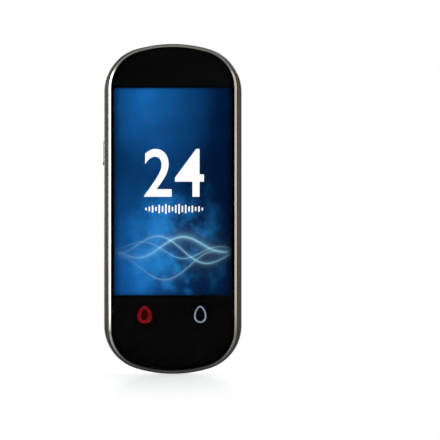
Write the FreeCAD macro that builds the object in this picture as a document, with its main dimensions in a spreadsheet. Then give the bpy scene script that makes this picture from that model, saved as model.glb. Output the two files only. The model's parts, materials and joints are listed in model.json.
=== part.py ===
import FreeCAD, Part
import math
import os
import Sketcher
from FreeCAD import Vector

# Handheld translator, upright on its lower end. +Z runs along its length, the screen faces -Y,
# the camera and speaker face +Y, and +X is on the right seen from the screen side.
# The origin is the middle of the box's underside. Lengths in millimetres, angles in degrees.

DRIVING_SIZES = {
    # Body outline: straight sides, a shallow crown at each end and round corners between them
    "body_width": 57.5,
    "body_length": 138.0,
    "body_depth": 13.0,
    "crown_radius": 53.3,
    "corner_radius": 18.7,
    # Front glass and the polished ring around it
    "bezel_side": 3.03,
    "bezel_end": 1.5,
    "glass_crown_radius": 52.4,
    "glass_corner_radius": 17.6,
    "glass_thick": 1.0,
    "glass_edge_round": 0.3,
    "glass_gap": 0.05,
    "ring_side_width": 1.1,
    "ring_end_width": 0.95,
    "ring_step": 0.15,
    "frame_step": 0.15,
    "mask_thick": 0.08,
    "glass_tape_thick": 0.1,
    # Screen behind the glass
    "screen_side_margin": 4.25,
    "screen_top_margin": 18.6,
    "screen_bottom": 32.9,
    "screen_corner": 0.8,
    "module_side_border": 0.6,
    "module_top_border": 1.2,
    "module_bottom_border": 3.0,
    "touch_thick": 0.15,
    "panel_thick": 1.0,
    "backlight_thick": 1.1,
    "tape_thick": 0.15,
    "tape_width": 2.0,
    "flex_thick": 0.1,
    "screen_flex_width": 12.0,
    # Touch icons under the screen
    "icon_height": 24.1,
    "icon_spread": 11.6,
    "red_icon_radius": 3.1,
    "red_icon_tip": 4.3,
    "white_icon_radius": 2.55,
    "white_icon_tip": 4.35,
    "icon_stroke": 0.65,
    "touch_board_height": 8.4,
    "touch_board_rise": 0.7,
    "touch_board_width": 30.0,
    "touch_board_thick": 0.5,
    "touch_led_size": 1.6,
    "touch_led_thick": 0.6,
    "touch_tail_width": 8.0,
    # Middle frame
    "front_bevel_side": 1.5,
    "front_bevel_end": 0.25,
    "front_bevel_depth": 1.4,
    "frame_back": 2.2,
    "frame_wall_side": 2.7,
    "frame_wall_end": 2.4,
    "plate_thick": 0.6,
    "fit_gap": 0.1,
    # Back cover: rounded shoulder, soft groove, raised panel
    "shoulder_height": 3.0,
    "shoulder_round": 2.9,
    "cover_wall": 1.3,
    "tongue_thick": 1.0,
    "tongue_depth": 1.2,
    "back_panel_side": 10.65,
    "back_panel_end": 6.3,
    "back_panel_crown_radius": 47.0,
    "back_panel_corner": 9.5,
    "back_panel_round": 1.4,
    "groove_width": 1.9,
    "groove_depth": 0.4,
    # Camera and flash, placed from the top of the body
    "lens_below_top": 13.1,
    "camera_ring_radius": 4.2,
    "camera_ring_width": 0.65,
    "camera_ring_proud": 0.15,
    "camera_seat_depth": 0.9,
    "camera_aperture_radius": 3.3,
    "camera_window_sink": 0.05,
    "camera_body_size": 7.6,
    "camera_sensor_thick": 0.6,
    "camera_headroom": 1.3,
    "barrel_radius": 3.0,
    "barrel_gap": 0.2,
    "barrel_wall": 0.8,
    "barrel_height": 2.7,
    "camera_floor": 0.7,
    "camera_floor_hole": 2.0,
    "lens_thick": 0.8,
    "focus_travel": 0.25,
    "flash_side": 4.5,
    "flash_rise": 4.2,
    "flash_radius": 0.75,
    "flash_led_size": 1.3,
    "flash_led_thick": 0.7,
    # Speaker and its fanned slots, both placed from the lens
    "slot_width": 1.6,
    "slot_corner": 0.4,
    "inner_slot_length": 2.0,
    "outer_slot_length": 2.5,
    "inner_slot_radius": 11.8,
    "outer_slot_radius": 15.3,
    "inner_slot_pitch": 12.1,
    "outer_slot_pitch": 9.2,
    "inner_slot_count": 5,
    "outer_slot_count": 7,
    "speaker_below_lens": 13.6,
    "speaker_radius": 9.0,
    "speaker_rim": 0.5,
    "speaker_height": 3.9,
    "yoke_radius": 6.0,
    "yoke_wall": 0.45,
    "yoke_height": 2.0,
    "magnet_radius": 4.5,
    "magnet_height": 1.2,
    "coil_radius": 4.9,
    "coil_thick": 0.3,
    "coil_height": 1.7,
    "cone_gap": 0.3,
    "cone_thick": 0.25,
    "cone_rise": 0.6,
    "cone_travel": 0.25,
    # Side key on the -X side, placed from the top of the body
    "key_below_top": 40.6,
    "key_length": 9.2,
    "key_width": 2.0,
    "key_centre_depth": 1.0,
    "key_proud": 0.35,
    "key_edge_round": 0.3,
    "nib_length": 1.0,
    "nib_proud": 0.6,
    "key_gap": 0.15,
    "key_flange_lip": 0.4,
    "key_flange_thick": 0.6,
    "key_travel": 0.3,
    "key_plunger_length": 2.0,
    "key_plunger_reach": 0.8,
    "dome_gap": 0.05,
    "dome_radius": 0.9,
    "key_switch_thick": 0.7,
    "key_switch_length": 3.0,
    "key_bracket_thick": 0.5,
    "key_bracket_foot": 1.4,
    # Circuit boards, chips and shield cans
    "board_gap": 1.2,
    "board_thick": 0.8,
    "board_side_gap": 4.55,
    "board_corner": 13.0,
    "board_end_gap": 1.2,
    "main_board_height": 39.3,
    "lower_board_height": 24.1,
    "chip_thick": 0.9,
    "chip_margin": 1.0,
    "chip_length": 8.0,
    "can_wall": 0.2,
    "can_height": 1.4,
    "can_speaker_gap": 1.6,
    "can_length": 14.0,
    "can_edge_gap": 0.9,
    "connector_length": 4.0,
    "connector_width": 1.8,
    # Battery
    "battery_side_gap": 7.05,
    "battery_corner": 2.0,
    "battery_gap": 2.8,
    "battery_clearance": 0.7,
    "battery_connector_inset": 7.0,
    "battery_connector_length": 3.0,
    "battery_connector_width": 5.0,
    "battery_connector_height": 1.2,
    "link_width": 3.6,
    # Charging socket
    "socket_width": 8.94,
    "socket_thick": 3.16,
    "socket_wall": 0.3,
    "socket_depth": 7.3,
    "socket_sink": 0.4,
    "socket_gap": 0.13,
    "tongue_plate_width": 6.7,
    "tongue_plate_thick": 0.7,
    "tongue_plate_sink": 0.8,
    # Microphones and their ports
    "mic_side": 10.0,
    "mic_size": 3.0,
    "mic_thick": 1.2,
    "mic_port_radius": 0.3,
    "mic_seal_radius": 0.55,
    "mic_seal_clear": 0.35,
    # Antenna
    "antenna_width": 26.0,
    "antenna_height": 6.0,
    "antenna_contact_radius": 0.5,
    "antenna_contact_side": 4.0,
    # Fasteners
    "screw_head_radius": 1.3,
    "screw_head_height": 0.5,
    "screw_shank_radius": 0.7,
    "screw_hole_gap": 0.1,
    "post_radius": 1.7,
    "plate_screw_side": 14.0,
    "plate_screw_inset": 9.0,
    "plate_screw_length": 1.6,
    "board_screw_inset": 4.0,
}

DOC = FreeCAD.newDocument("handheld_translator")
NUDGE = 1e-4


def as_size(number):
    """Give a plain number the same form as a sheet size."""
    if isinstance(number, Size):
        return number
    return Size(float(number), repr(float(number)))


class Size:
    """A length together with the sheet formula that it follows."""

    def __init__(self, value, formula):
        self.value = value
        self.formula = formula

    def __add__(self, other):
        other = as_size(other)
        return Size(self.value + other.value, f"({self.formula} + {other.formula})")

    def __sub__(self, other):
        other = as_size(other)
        return Size(self.value - other.value, f"({self.formula} - {other.formula})")

    def __mul__(self, other):
        other = as_size(other)
        return Size(self.value * other.value, f"({self.formula} * {other.formula})")

    def __truediv__(self, other):
        other = as_size(other)
        return Size(self.value / other.value, f"({self.formula} / {other.formula})")

    def __neg__(self):
        return Size(-self.value, f"(0 - {self.formula})")


class Sheet:
    """The document's spreadsheet, read by attribute as sizes."""

    def __init__(self, sizes):
        cells = DOC.addObject("Spreadsheet::Sheet", "Sizes")
        for row, (name, value) in enumerate(sizes.items(), start=1):
            cells.set(f"A{row}", name)
            cells.set(f"B{row}", str(value))
            cells.setAlias(f"B{row}", name)
            setattr(self, name, Size(float(value), f"Sizes.{name}"))
        DOC.recompute()


S = Sheet(DRIVING_SIZES)
ZERO = as_size(0)


def bind(target, path, size):
    """Tie one property of an object to the sheet."""
    target.setExpression(path, as_size(size).formula)


# Sketch outlines. Each function returns another that draws the outline on a sketch.

def dimension(sketch, kind, size, *places):
    """Add one driven dimension to a sketch."""
    index = sketch.addConstraint(Sketcher.Constraint(kind, *places, as_size(size).value))
    bind(sketch, f"Constraints[{index}]", size)


def hold_point(sketch, piece, end, across, up):
    """Fix one end or centre of a sketch piece at a place."""
    dimension(sketch, "DistanceX", across, -1, 1, piece, end)
    dimension(sketch, "DistanceY", up, -1, 1, piece, end)


def arc(across, up, radius, start, stop):
    """A circular arc, counter-clockwise between two angles in radians."""
    circle = Part.Circle(Vector(across, up, 0), Vector(0, 0, 1), radius)
    return Part.ArcOfCircle(circle, start, stop)


def join_smoothly(sketch, pieces):
    """Make a ring of sketch pieces meet end to end without corners."""
    for index, piece in enumerate(pieces):
        following = pieces[(index + 1) % len(pieces)]
        sketch.addConstraint(Sketcher.Constraint("Tangent", piece, 2, following, 1))


def crown(half_width, half_length, crown_radius, corner_radius):
    """The body's own outline: straight sides, crowned ends and round corners."""
    def draw(sketch):
        hw, hl = half_width.value, half_length.value
        big, small = crown_radius.value, corner_radius.value
        crown_up = hl - big
        corner_across = hw - small
        rise = math.sqrt((big - small) ** 2 - corner_across ** 2)
        corner_up = crown_up + rise
        turn = math.atan2(rise, corner_across)
        pieces = [
            Part.LineSegment(Vector(hw, -corner_up, 0), Vector(hw, corner_up, 0)),
            arc(corner_across, corner_up, small, 0, turn),
            arc(0, crown_up, big, turn, math.pi - turn),
            arc(-corner_across, corner_up, small, math.pi - turn, math.pi),
            Part.LineSegment(Vector(-hw, corner_up, 0), Vector(-hw, -corner_up, 0)),
            arc(-corner_across, -corner_up, small, math.pi, math.pi + turn),
            arc(0, -crown_up, big, math.pi + turn, 2 * math.pi - turn),
            arc(corner_across, -corner_up, small, 2 * math.pi - turn, 2 * math.pi),
        ]
        ids = [sketch.addGeometry(piece, False) for piece in pieces]
        right, right_top, top, left_top, left, left_low, low, right_low = ids
        join_smoothly(sketch, ids)
        for line, across in ((right, half_width), (left, -half_width)):
            sketch.addConstraint(Sketcher.Constraint("Vertical", line))
            dimension(sketch, "DistanceX", across, -1, 1, line, 1)
        for cap, up in ((top, half_length - crown_radius), (low, crown_radius - half_length)):
            hold_point(sketch, cap, 3, ZERO, up)
            dimension(sketch, "Radius", crown_radius, cap)
        dimension(sketch, "Radius", corner_radius, right_top)
        for corner in (left_top, left_low, right_low):
            sketch.addConstraint(Sketcher.Constraint("Equal", right_top, corner))
    return draw


def rounded_box(left, right, low, high, radius):
    """A rectangle with round corners."""
    def draw(sketch):
        x0, x1, y0, y1 = left.value, right.value, low.value, high.value
        r = radius.value
        quarter = math.pi / 2
        pieces = [
            Part.LineSegment(Vector(x0 + r, y0, 0), Vector(x1 - r, y0, 0)),
            arc(x1 - r, y0 + r, r, 3 * quarter, 4 * quarter),
            Part.LineSegment(Vector(x1, y0 + r, 0), Vector(x1, y1 - r, 0)),
            arc(x1 - r, y1 - r, r, 0, quarter),
            Part.LineSegment(Vector(x1 - r, y1, 0), Vector(x0 + r, y1, 0)),
            arc(x0 + r, y1 - r, r, quarter, 2 * quarter),
            Part.LineSegment(Vector(x0, y1 - r, 0), Vector(x0, y0 + r, 0)),
            arc(x0 + r, y0 + r, r, 2 * quarter, 3 * quarter),
        ]
        ids = [sketch.addGeometry(piece, False) for piece in pieces]
        join_smoothly(sketch, ids)
        for line, kind, size in ((0, "Y", low), (2, "X", right), (4, "Y", high), (6, "X", left)):
            level = "Horizontal" if kind == "Y" else "Vertical"
            sketch.addConstraint(Sketcher.Constraint(level, ids[line]))
            dimension(sketch, f"Distance{kind}", size, -1, 1, ids[line], 1)
        dimension(sketch, "Radius", radius, ids[1])
        for corner in (3, 5, 7):
            sketch.addConstraint(Sketcher.Constraint("Equal", ids[1], ids[corner]))
    return draw


def polygon(*points):
    """A closed shape of straight edges through the given places."""
    def draw(sketch):
        places = [Vector(across.value, up.value, 0) for across, up in points]
        ids = []
        for index, place in enumerate(places):
            following = places[(index + 1) % len(places)]
            ids.append(sketch.addGeometry(Part.LineSegment(place, following), False))
        for index, line in enumerate(ids):
            following = ids[(index + 1) % len(ids)]
            sketch.addConstraint(Sketcher.Constraint("Coincident", line, 2, following, 1))
            hold_point(sketch, line, 1, *points[index])
    return draw


def box(left, right, low, high):
    """A plain rectangle."""
    return polygon((left, low), (right, low), (right, high), (left, high))


def circle(across, up, radius):
    """A full circle."""
    def draw(sketch):
        place = Vector(across.value, up.value, 0)
        ring = sketch.addGeometry(Part.Circle(place, Vector(0, 0, 1), radius.value), False)
        hold_point(sketch, ring, 3, across, up)
        dimension(sketch, "Radius", radius, ring)
    return draw


def drop(across, up, radius, tip):
    """A drop: a round belly with two straight flanks that meet at a tip above it."""
    def draw(sketch):
        x, y, r, reach = across.value, up.value, radius.value, tip.value
        lean = math.asin(r / reach)
        right = Vector(x + r * math.cos(lean), y + r * math.sin(lean), 0)
        left = Vector(x - r * math.cos(lean), y + r * math.sin(lean), 0)
        point = Vector(x, y + reach, 0)
        belly = sketch.addGeometry(arc(x, y, r, math.pi - lean, 2 * math.pi + lean), False)
        rising = sketch.addGeometry(Part.LineSegment(right, point), False)
        falling = sketch.addGeometry(Part.LineSegment(point, left), False)
        sketch.addConstraint(Sketcher.Constraint("Tangent", belly, 2, rising, 1))
        sketch.addConstraint(Sketcher.Constraint("Coincident", rising, 2, falling, 1))
        sketch.addConstraint(Sketcher.Constraint("Tangent", falling, 2, belly, 1))
        hold_point(sketch, belly, 3, across, up)
        dimension(sketch, "Radius", radius, belly)
        hold_point(sketch, rising, 2, across, up + tip)
    return draw


def mirrored(shape, across, *rest):
    """The same shape at a place on the right and at its mirror place on the left."""
    return [shape(across, *rest), shape(-across, *rest)]


def side_boxes(inner, outer, low, high):
    """Two plain rectangles, one on each side of the middle."""
    return [box(inner, outer, low, high), box(-outer, -inner, low, high)]


# Solid pieces

# The origin plane square to each axis, and which way its normal points along that axis
PLANES = {"x": ("YZ_Plane", 1), "y": ("XZ_Plane", -1), "z": ("XY_Plane", 1)}
PIECES = []


class Piece:
    """One named piece, built from sketches on its own origin planes."""

    def __init__(self, label):
        self.body = DOC.addObject("PartDesign::Body", label)
        self.body.Label = label
        self.body.AllowCompound = True
        PIECES.append(self.body)

    def sketch(self, axis, level, outlines, shift=(ZERO, ZERO), turn=ZERO):
        """Draw outlines on a plane square to an axis at a level along it."""
        role, sign = PLANES[axis]
        planes = [item for item in self.body.Origin.OriginFeatures if item.Role == role]
        sketch = self.body.newObject("Sketcher::SketchObject", f"{self.body.Name}_sketch")
        sketch.AttachmentSupport = [(planes[0], "")]
        sketch.MapMode = "FlatFace"
        offset = (shift[0], shift[1], level * sign)
        for letter, size in zip("xyz", offset):
            bind(sketch, f"AttachmentOffset.Base.{letter}", size)
        if turn is not ZERO:
            bind(sketch, "AttachmentOffset.Rotation.Angle", turn)
        for outline in outlines:
            outline(sketch)
        return sketch

    def add(self, axis, low, high, outlines, shift=(ZERO, ZERO)):
        """Extrude outlines between two levels along an axis."""
        start = low if PLANES[axis][1] > 0 else high
        pad = self.body.newObject("PartDesign::Pad", f"{self.body.Name}_pad")
        pad.Profile = self.sketch(axis, start, outlines, shift)
        bind(pad, "Length", high - low)
        self.body.Tip = pad
        return pad

    def cut(self, axis, low, high, outlines, shift=(ZERO, ZERO), turn=ZERO):
        """Cut outlines away between two levels along an axis."""
        start = high if PLANES[axis][1] > 0 else low
        before = self.volume()
        pocket = self.body.newObject("PartDesign::Pocket", f"{self.body.Name}_pocket")
        pocket.Profile = self.sketch(axis, start, outlines, shift, turn)
        bind(pocket, "Length", high - low)
        self.body.Tip = pocket
        if not self.volume() < before:
            raise ValueError(f"{self.body.Label}: a cut removed nothing")
        return pocket

    def fan(self, pocket, count, pitch):
        """Repeat a cut about the origin of its own sketch."""
        pattern = self.body.newObject("PartDesign::PolarPattern", f"{self.body.Name}_fan")
        pattern.Originals = [pocket]
        pattern.Axis = (pocket.Profile[0], ["N_Axis"])
        bind(pattern, "Angle", pitch * (count - 1))
        bind(pattern, "Occurrences", count)
        self.body.Tip = pattern

    def turn(self, across, up, profile):
        """Revolve a (radius, Y) profile about a line along Y."""
        revolution = self.body.newObject("PartDesign::Revolution", f"{self.body.Name}_turned")
        revolution.Profile = self.sketch("z", up, [polygon(*profile)], (across, ZERO))
        revolution.ReferenceAxis = (revolution.Profile[0], ["V_Axis"])
        revolution.Angle = 360
        self.body.Tip = revolution

    def loft(self, sections):
        """Bridge outlines that lie at different levels along Y."""
        sketches = [self.sketch("y", level, [outline]) for level, outline in sections]
        for sketch in sketches:
            bind(sketch, "AttachmentOffset.Base.y", S.body_length / 2)
        loft = self.body.newObject("PartDesign::AdditiveLoft", f"{self.body.Name}_loft")
        loft.Profile = sketches[0]
        loft.Sections = sketches[1:]
        loft.Ruled = True
        self.body.Tip = loft

    def round_edges(self, axis, level, radius):
        """Round the edges that lie at one level along an axis."""
        DOC.recompute()
        base = self.body.Tip
        letter = axis.upper()
        names = []
        for index, edge in enumerate(base.Shape.Edges, start=1):
            bounds = edge.BoundBox
            low = getattr(bounds, f"{letter}Min")
            high = getattr(bounds, f"{letter}Max")
            if abs(low - level.value) < NUDGE and abs(high - level.value) < NUDGE:
                names.append(f"Edge{index}")
        fillet = self.body.newObject("PartDesign::Fillet", f"{self.body.Name}_round")
        fillet.Base = (base, names)
        bind(fillet, "Radius", radius)
        self.body.Tip = fillet

    def volume(self):
        """The piece's volume as it now stands."""
        DOC.recompute()
        return self.body.Shape.Volume


# Levels along the depth, from the front glass to the back panel

GLASS_FRONT = -S.body_depth / 2
MASK_FRONT = GLASS_FRONT + S.glass_thick
MASK_BACK = MASK_FRONT + S.mask_thick
LEDGE = MASK_BACK + S.glass_tape_thick
RING_FRONT = GLASS_FRONT + S.ring_step
FRAME_FRONT = RING_FRONT + S.frame_step
BEVEL_BACK = FRAME_FRONT + S.front_bevel_depth
PANEL_FRONT = MASK_BACK + S.touch_thick
BACKLIGHT_FRONT = PANEL_FRONT + S.panel_thick
BACKLIGHT_BACK = BACKLIGHT_FRONT + S.backlight_thick
PLATE_FRONT = BACKLIGHT_BACK + S.tape_thick
PLATE_BACK = PLATE_FRONT + S.plate_thick
BOARD_FRONT = PLATE_BACK + S.board_gap
BOARD_BACK = BOARD_FRONT + S.board_thick
FRAME_BACK = S.frame_back
SHOULDER_BACK = FRAME_BACK + S.shoulder_height
GROOVE_FLOOR = SHOULDER_BACK - S.groove_depth
SHOULDER_INSIDE = GROOVE_FLOOR - S.cover_wall
COVER_BACK = S.body_depth / 2
COVER_INSIDE = COVER_BACK - S.cover_wall
TONGUE_TIP = FRAME_BACK - S.tongue_depth
REBATE_FLOOR = TONGUE_TIP - S.fit_gap

# Places along the length and across the width

MIDDLE = S.body_length / 2
CENTRED = (ZERO, MIDDLE)
SCREEN_SIDE = S.body_width / 2 - S.screen_side_margin
SCREEN_TOP = S.body_length - S.screen_top_margin
MODULE_BOTTOM = S.screen_bottom - S.module_bottom_border
MODULE_TOP = SCREEN_TOP + S.module_top_border
MODULE_SIDE = SCREEN_SIDE + S.module_side_border
TOUCH_LOW = S.icon_height + S.touch_board_rise - S.touch_board_height / 2
TOUCH_HIGH = TOUCH_LOW + S.touch_board_height
TOUCH_SIDE = S.touch_board_width / 2
LENS_UP = S.body_length - S.lens_below_top
SPEAKER_UP = LENS_UP - S.speaker_below_lens
FLASH_ACROSS = -S.flash_side
FLASH_UP = LENS_UP + S.flash_rise
INNER_SIDE = S.body_width / 2 - S.frame_wall_side
MAIN_TOP = S.body_length - S.frame_wall_end - S.board_end_gap
MAIN_BOTTOM = MAIN_TOP - S.main_board_height
LOWER_BOTTOM = S.frame_wall_end + S.board_end_gap
LOWER_TOP = LOWER_BOTTOM + S.lower_board_height
BATTERY_BOTTOM = LOWER_TOP + S.battery_gap
BATTERY_TOP = MAIN_BOTTOM - S.battery_gap
BATTERY_SIDE = INNER_SIDE - S.battery_side_gap
BOARD_SIDE = INNER_SIDE - S.board_side_gap
BOARD_SCREW_SIDE = BOARD_SIDE - S.board_screw_inset
KEY_TOP = S.body_length - S.key_below_top
KEY_BOTTOM = KEY_TOP - S.key_length
NIB_BOTTOM = KEY_BOTTOM - S.nib_length
KEY_MIDDLE = (KEY_TOP + NIB_BOTTOM) / 2
SOCKET_DEPTH_CENTRE = (BOARD_FRONT + BOARD_BACK) / 2 + S.fit_gap


def body_outline(side, end):
    """The body's outline drawn inwards by one amount at the sides and one at the ends."""
    return crown(S.body_width / 2 - side, S.body_length / 2 - end,
                 S.crown_radius - end, S.corner_radius - side)


def glass_outline(side, end):
    """The glass's outline drawn outwards by one amount at the sides and one at the ends."""
    return crown(S.body_width / 2 - S.bezel_side + side, S.body_length / 2 - S.bezel_end + end,
                 S.glass_crown_radius + end, S.glass_corner_radius + side)


def module_outline(grow):
    """The screen module's rectangle, drawn outwards by a clearance."""
    return box(-MODULE_SIDE - grow, MODULE_SIDE + grow, MODULE_BOTTOM - grow, MODULE_TOP + grow)


# Front glass, bezel and touch icons

def make_front_glass():
    piece = Piece("front_glass")
    piece.add("y", GLASS_FRONT, MASK_FRONT, [glass_outline(ZERO, ZERO)], CENTRED)
    piece.round_edges("y", GLASS_FRONT, S.glass_edge_round)


def icon_drops(shrink):
    """The two drop outlines, drawn inwards by an amount: red on the left, white on the right."""
    red = drop(-S.icon_spread, S.icon_height, S.red_icon_radius - shrink,
               S.red_icon_tip - shrink * S.red_icon_tip / S.red_icon_radius)
    white = drop(S.icon_spread, S.icon_height, S.white_icon_radius - shrink,
                 S.white_icon_tip - shrink * S.white_icon_tip / S.white_icon_radius)
    return red, white


def make_glass_mask():
    piece = Piece("glass_mask")
    margin = -S.glass_gap
    piece.add("y", MASK_FRONT, MASK_BACK, [glass_outline(margin, margin)], CENTRED)
    window = rounded_box(-SCREEN_SIDE, SCREEN_SIDE, S.screen_bottom, SCREEN_TOP, S.screen_corner)
    piece.cut("y", MASK_FRONT, MASK_BACK, [window])
    piece.cut("y", MASK_FRONT, MASK_BACK, list(icon_drops(ZERO)))
    islands = icon_drops(S.icon_stroke + S.glass_gap * 2)
    piece.add("y", MASK_FRONT, MASK_BACK, list(islands))


def make_touch_icons():
    outer = icon_drops(S.glass_gap)
    inner = icon_drops(S.icon_stroke + S.glass_gap)
    for label, ring, hole in zip(("red_touch_icon", "white_touch_icon"), outer, inner):
        piece = Piece(label)
        piece.add("y", MASK_FRONT, MASK_BACK, [ring])
        piece.cut("y", MASK_FRONT, MASK_BACK, [hole])


def make_glass_tape():
    piece = Piece("glass_tape")
    margin = -S.glass_gap
    piece.add("y", MASK_BACK, LEDGE, [glass_outline(margin, margin)], CENTRED)
    opening = box(-MODULE_SIDE - S.fit_gap, MODULE_SIDE + S.fit_gap,
                  TOUCH_LOW - S.fit_gap, MODULE_TOP + S.fit_gap)
    piece.cut("y", MASK_BACK, LEDGE, [opening])


def make_bezel_ring():
    piece = Piece("bezel_ring")
    outer = glass_outline(S.ring_side_width, S.ring_end_width)
    piece.add("y", RING_FRONT, LEDGE, [outer], CENTRED)
    piece.cut("y", RING_FRONT, LEDGE, [glass_outline(S.glass_gap, S.glass_gap)], CENTRED)


# Screen stack

def make_screen_layers():
    layers = (
        ("touch_sensor", MASK_BACK, PANEL_FRONT),
        ("display_panel", PANEL_FRONT, BACKLIGHT_FRONT),
        ("display_backlight", BACKLIGHT_FRONT, BACKLIGHT_BACK),
    )
    for label, front, back in layers:
        Piece(label).add("y", front, back, [module_outline(ZERO)])


def make_display_tape():
    piece = Piece("display_tape")
    piece.add("y", BACKLIGHT_BACK, PLATE_FRONT, [module_outline(ZERO)])
    piece.cut("y", BACKLIGHT_BACK, PLATE_FRONT, [module_outline(-S.tape_width)])


def flex_slot():
    """Where the screen's flex turns back through the chassis plate: its low and high edges."""
    low = MAIN_BOTTOM + S.connector_length
    return low, low + S.flex_thick


def make_display_flex():
    low = MODULE_BOTTOM + S.tape_width + S.fit_gap
    turn_low, turn_high = flex_slot()
    front = BACKLIGHT_BACK
    back = front + S.flex_thick
    profile = polygon((front, low), (back, low), (back, turn_low), (BOARD_FRONT, turn_low),
                      (BOARD_FRONT, turn_high), (front, turn_high))
    half = S.screen_flex_width / 2
    Piece("display_flex").add("x", -half, half, [profile])


# Touch key lights

def make_touch_key_lights():
    piece = Piece("touch_key_board")
    piece.add("y", PLATE_FRONT - S.touch_board_thick, PLATE_FRONT,
              [box(-TOUCH_SIDE, TOUCH_SIDE, TOUCH_LOW, TOUCH_HIGH)])
    led_back = PLATE_FRONT - S.touch_board_thick
    half = S.touch_led_size / 2
    leds = side_boxes(S.icon_spread - half, S.icon_spread + half,
                      S.icon_height - half, S.icon_height + half)
    Piece("touch_key_lamps").add("y", led_back - S.touch_led_thick, led_back, leds)
    guide_back = led_back - S.touch_led_thick - S.glass_gap
    Piece("key_light_guide").add("y", MASK_BACK, guide_back,
                                 [box(-TOUCH_SIDE, TOUCH_SIDE, TOUCH_LOW, TOUCH_HIGH)])


def tail_slot():
    """Where the touch keys' flex tail passes the chassis plate: its low and high edges."""
    return S.icon_height - S.flex_thick, S.icon_height


def make_touch_key_tail():
    half = S.touch_tail_width / 2
    Piece("touch_key_tail").add("y", PLATE_FRONT, BOARD_FRONT, [box(-half, half, *tail_slot())])


# Middle frame and chassis plate

def plate_screw_places(shape, *rest):
    """The four screws that hold the chassis plate against the frame's end webs."""
    low = S.frame_wall_end + S.plate_screw_inset
    high = S.body_length - S.frame_wall_end - S.plate_screw_inset
    return mirrored(shape, S.plate_screw_side, low, *rest) + mirrored(
        shape, S.plate_screw_side, high, *rest)


def board_screw_places(shape, *rest):
    """The four screws that hold the two circuit boards on the plate's posts."""
    low = LOWER_TOP - S.board_screw_inset
    high = MAIN_BOTTOM + S.board_screw_inset
    return mirrored(shape, BOARD_SCREW_SIDE, low, *rest) + mirrored(
        shape, BOARD_SCREW_SIDE, high, *rest)


def key_opening(grow):
    """The side key's outline in Y and Z with its nib, drawn outwards by a clearance."""
    half = S.key_width / 2
    middle = -S.key_centre_depth
    return box(middle - half - grow, middle + half + grow, NIB_BOTTOM - grow, KEY_TOP + grow)


def socket_outline(trim):
    """The charging socket's rounded outline in X and Y, drawn inwards by an amount."""
    half_wide = S.socket_width / 2 - trim
    half_thick = S.socket_thick / 2 - trim
    middle = SOCKET_DEPTH_CENTRE
    return rounded_box(-half_wide, half_wide, middle - half_thick, middle + half_thick,
                       half_thick - S.glass_gap)


def mic_depth():
    """The microphones' sound ports lie at this depth."""
    return BOARD_BACK + S.mic_thick / 2


def make_mid_frame():
    piece = Piece("mid_frame")
    piece.add("y", BEVEL_BACK, FRAME_BACK, [body_outline(ZERO, ZERO)], CENTRED)
    piece.loft([
        (BEVEL_BACK, body_outline(ZERO, ZERO)),
        (FRAME_FRONT, body_outline(S.front_bevel_side, S.front_bevel_end)),
    ])
    gap = S.glass_gap
    recess = glass_outline(S.ring_side_width + gap, S.ring_end_width + gap)
    piece.cut("y", FRAME_FRONT, LEDGE, [recess], CENTRED)
    piece.cut("y", LEDGE, PLATE_FRONT, [module_outline(S.fit_gap)])
    touch = box(-TOUCH_SIDE - S.fit_gap, TOUCH_SIDE + S.fit_gap,
                TOUCH_LOW - S.fit_gap, TOUCH_HIGH + S.fit_gap)
    piece.cut("y", LEDGE, PLATE_FRONT, [touch])
    inside = body_outline(S.frame_wall_side, S.frame_wall_end)
    piece.cut("y", PLATE_FRONT, FRAME_BACK, [inside], CENTRED)
    rebate = S.tongue_thick + S.fit_gap
    piece.cut("y", REBATE_FLOOR, FRAME_BACK,
              [body_outline(S.frame_wall_side - rebate, S.frame_wall_end - rebate)], CENTRED)
    piece.cut("x", -S.body_width / 2 - S.fit_gap, -INNER_SIDE + S.fit_gap, [key_opening(S.key_gap)])
    piece.cut("z", -S.fit_gap, LOWER_BOTTOM, [socket_outline(-S.socket_gap)])
    port = circle(S.mic_side, mic_depth(), S.mic_port_radius)
    piece.cut("z", -S.fit_gap, LOWER_BOTTOM + S.board_end_gap, [port])
    piece.cut("z", MAIN_TOP, S.body_length + S.fit_gap, [port])
    bore = S.screw_shank_radius + S.screw_hole_gap
    bottom = PLATE_FRONT - S.plate_screw_length - S.screw_hole_gap
    piece.cut("y", bottom, PLATE_FRONT, plate_screw_places(circle, bore))


def make_chassis_plate():
    piece = Piece("chassis_plate")
    gap = S.fit_gap
    piece.add("y", PLATE_FRONT, PLATE_BACK,
              [body_outline(S.frame_wall_side + gap, S.frame_wall_end + gap)], CENTRED)
    piece.add("y", PLATE_BACK, BOARD_FRONT, board_screw_places(circle, S.post_radius))
    bore = S.screw_shank_radius + S.screw_hole_gap
    piece.cut("y", PLATE_FRONT, BOARD_FRONT, board_screw_places(circle, bore))
    piece.cut("y", PLATE_FRONT, PLATE_BACK, plate_screw_places(circle, bore))
    half = S.screen_flex_width / 2 + gap
    low, high = flex_slot()
    piece.cut("y", PLATE_FRONT, PLATE_BACK, [box(-half, half, low - gap, high + gap)])
    half = S.touch_tail_width / 2 + gap
    low, high = tail_slot()
    piece.cut("y", PLATE_FRONT, PLATE_BACK, [box(-half, half, low - gap, high + gap)])


def make_screws():
    plate = Piece("plate_screws")
    head_back = PLATE_BACK + S.screw_head_height
    plate.add("y", PLATE_BACK, head_back, plate_screw_places(circle, S.screw_head_radius))
    plate.add("y", PLATE_FRONT - S.plate_screw_length, PLATE_BACK,
              plate_screw_places(circle, S.screw_shank_radius))
    board = Piece("board_screws")
    head_back = BOARD_BACK + S.screw_head_height
    board.add("y", BOARD_BACK, head_back, board_screw_places(circle, S.screw_head_radius))
    board.add("y", PLATE_FRONT + S.fit_gap, BOARD_BACK,
              board_screw_places(circle, S.screw_shank_radius))


# Back cover

def panel_outline(grow):
    """The raised back panel's outline, drawn outwards by an amount."""
    return crown(S.body_width / 2 - S.back_panel_side + grow,
                 S.body_length / 2 - S.back_panel_end + grow,
                 S.back_panel_crown_radius + grow, S.back_panel_corner + grow)


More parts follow.
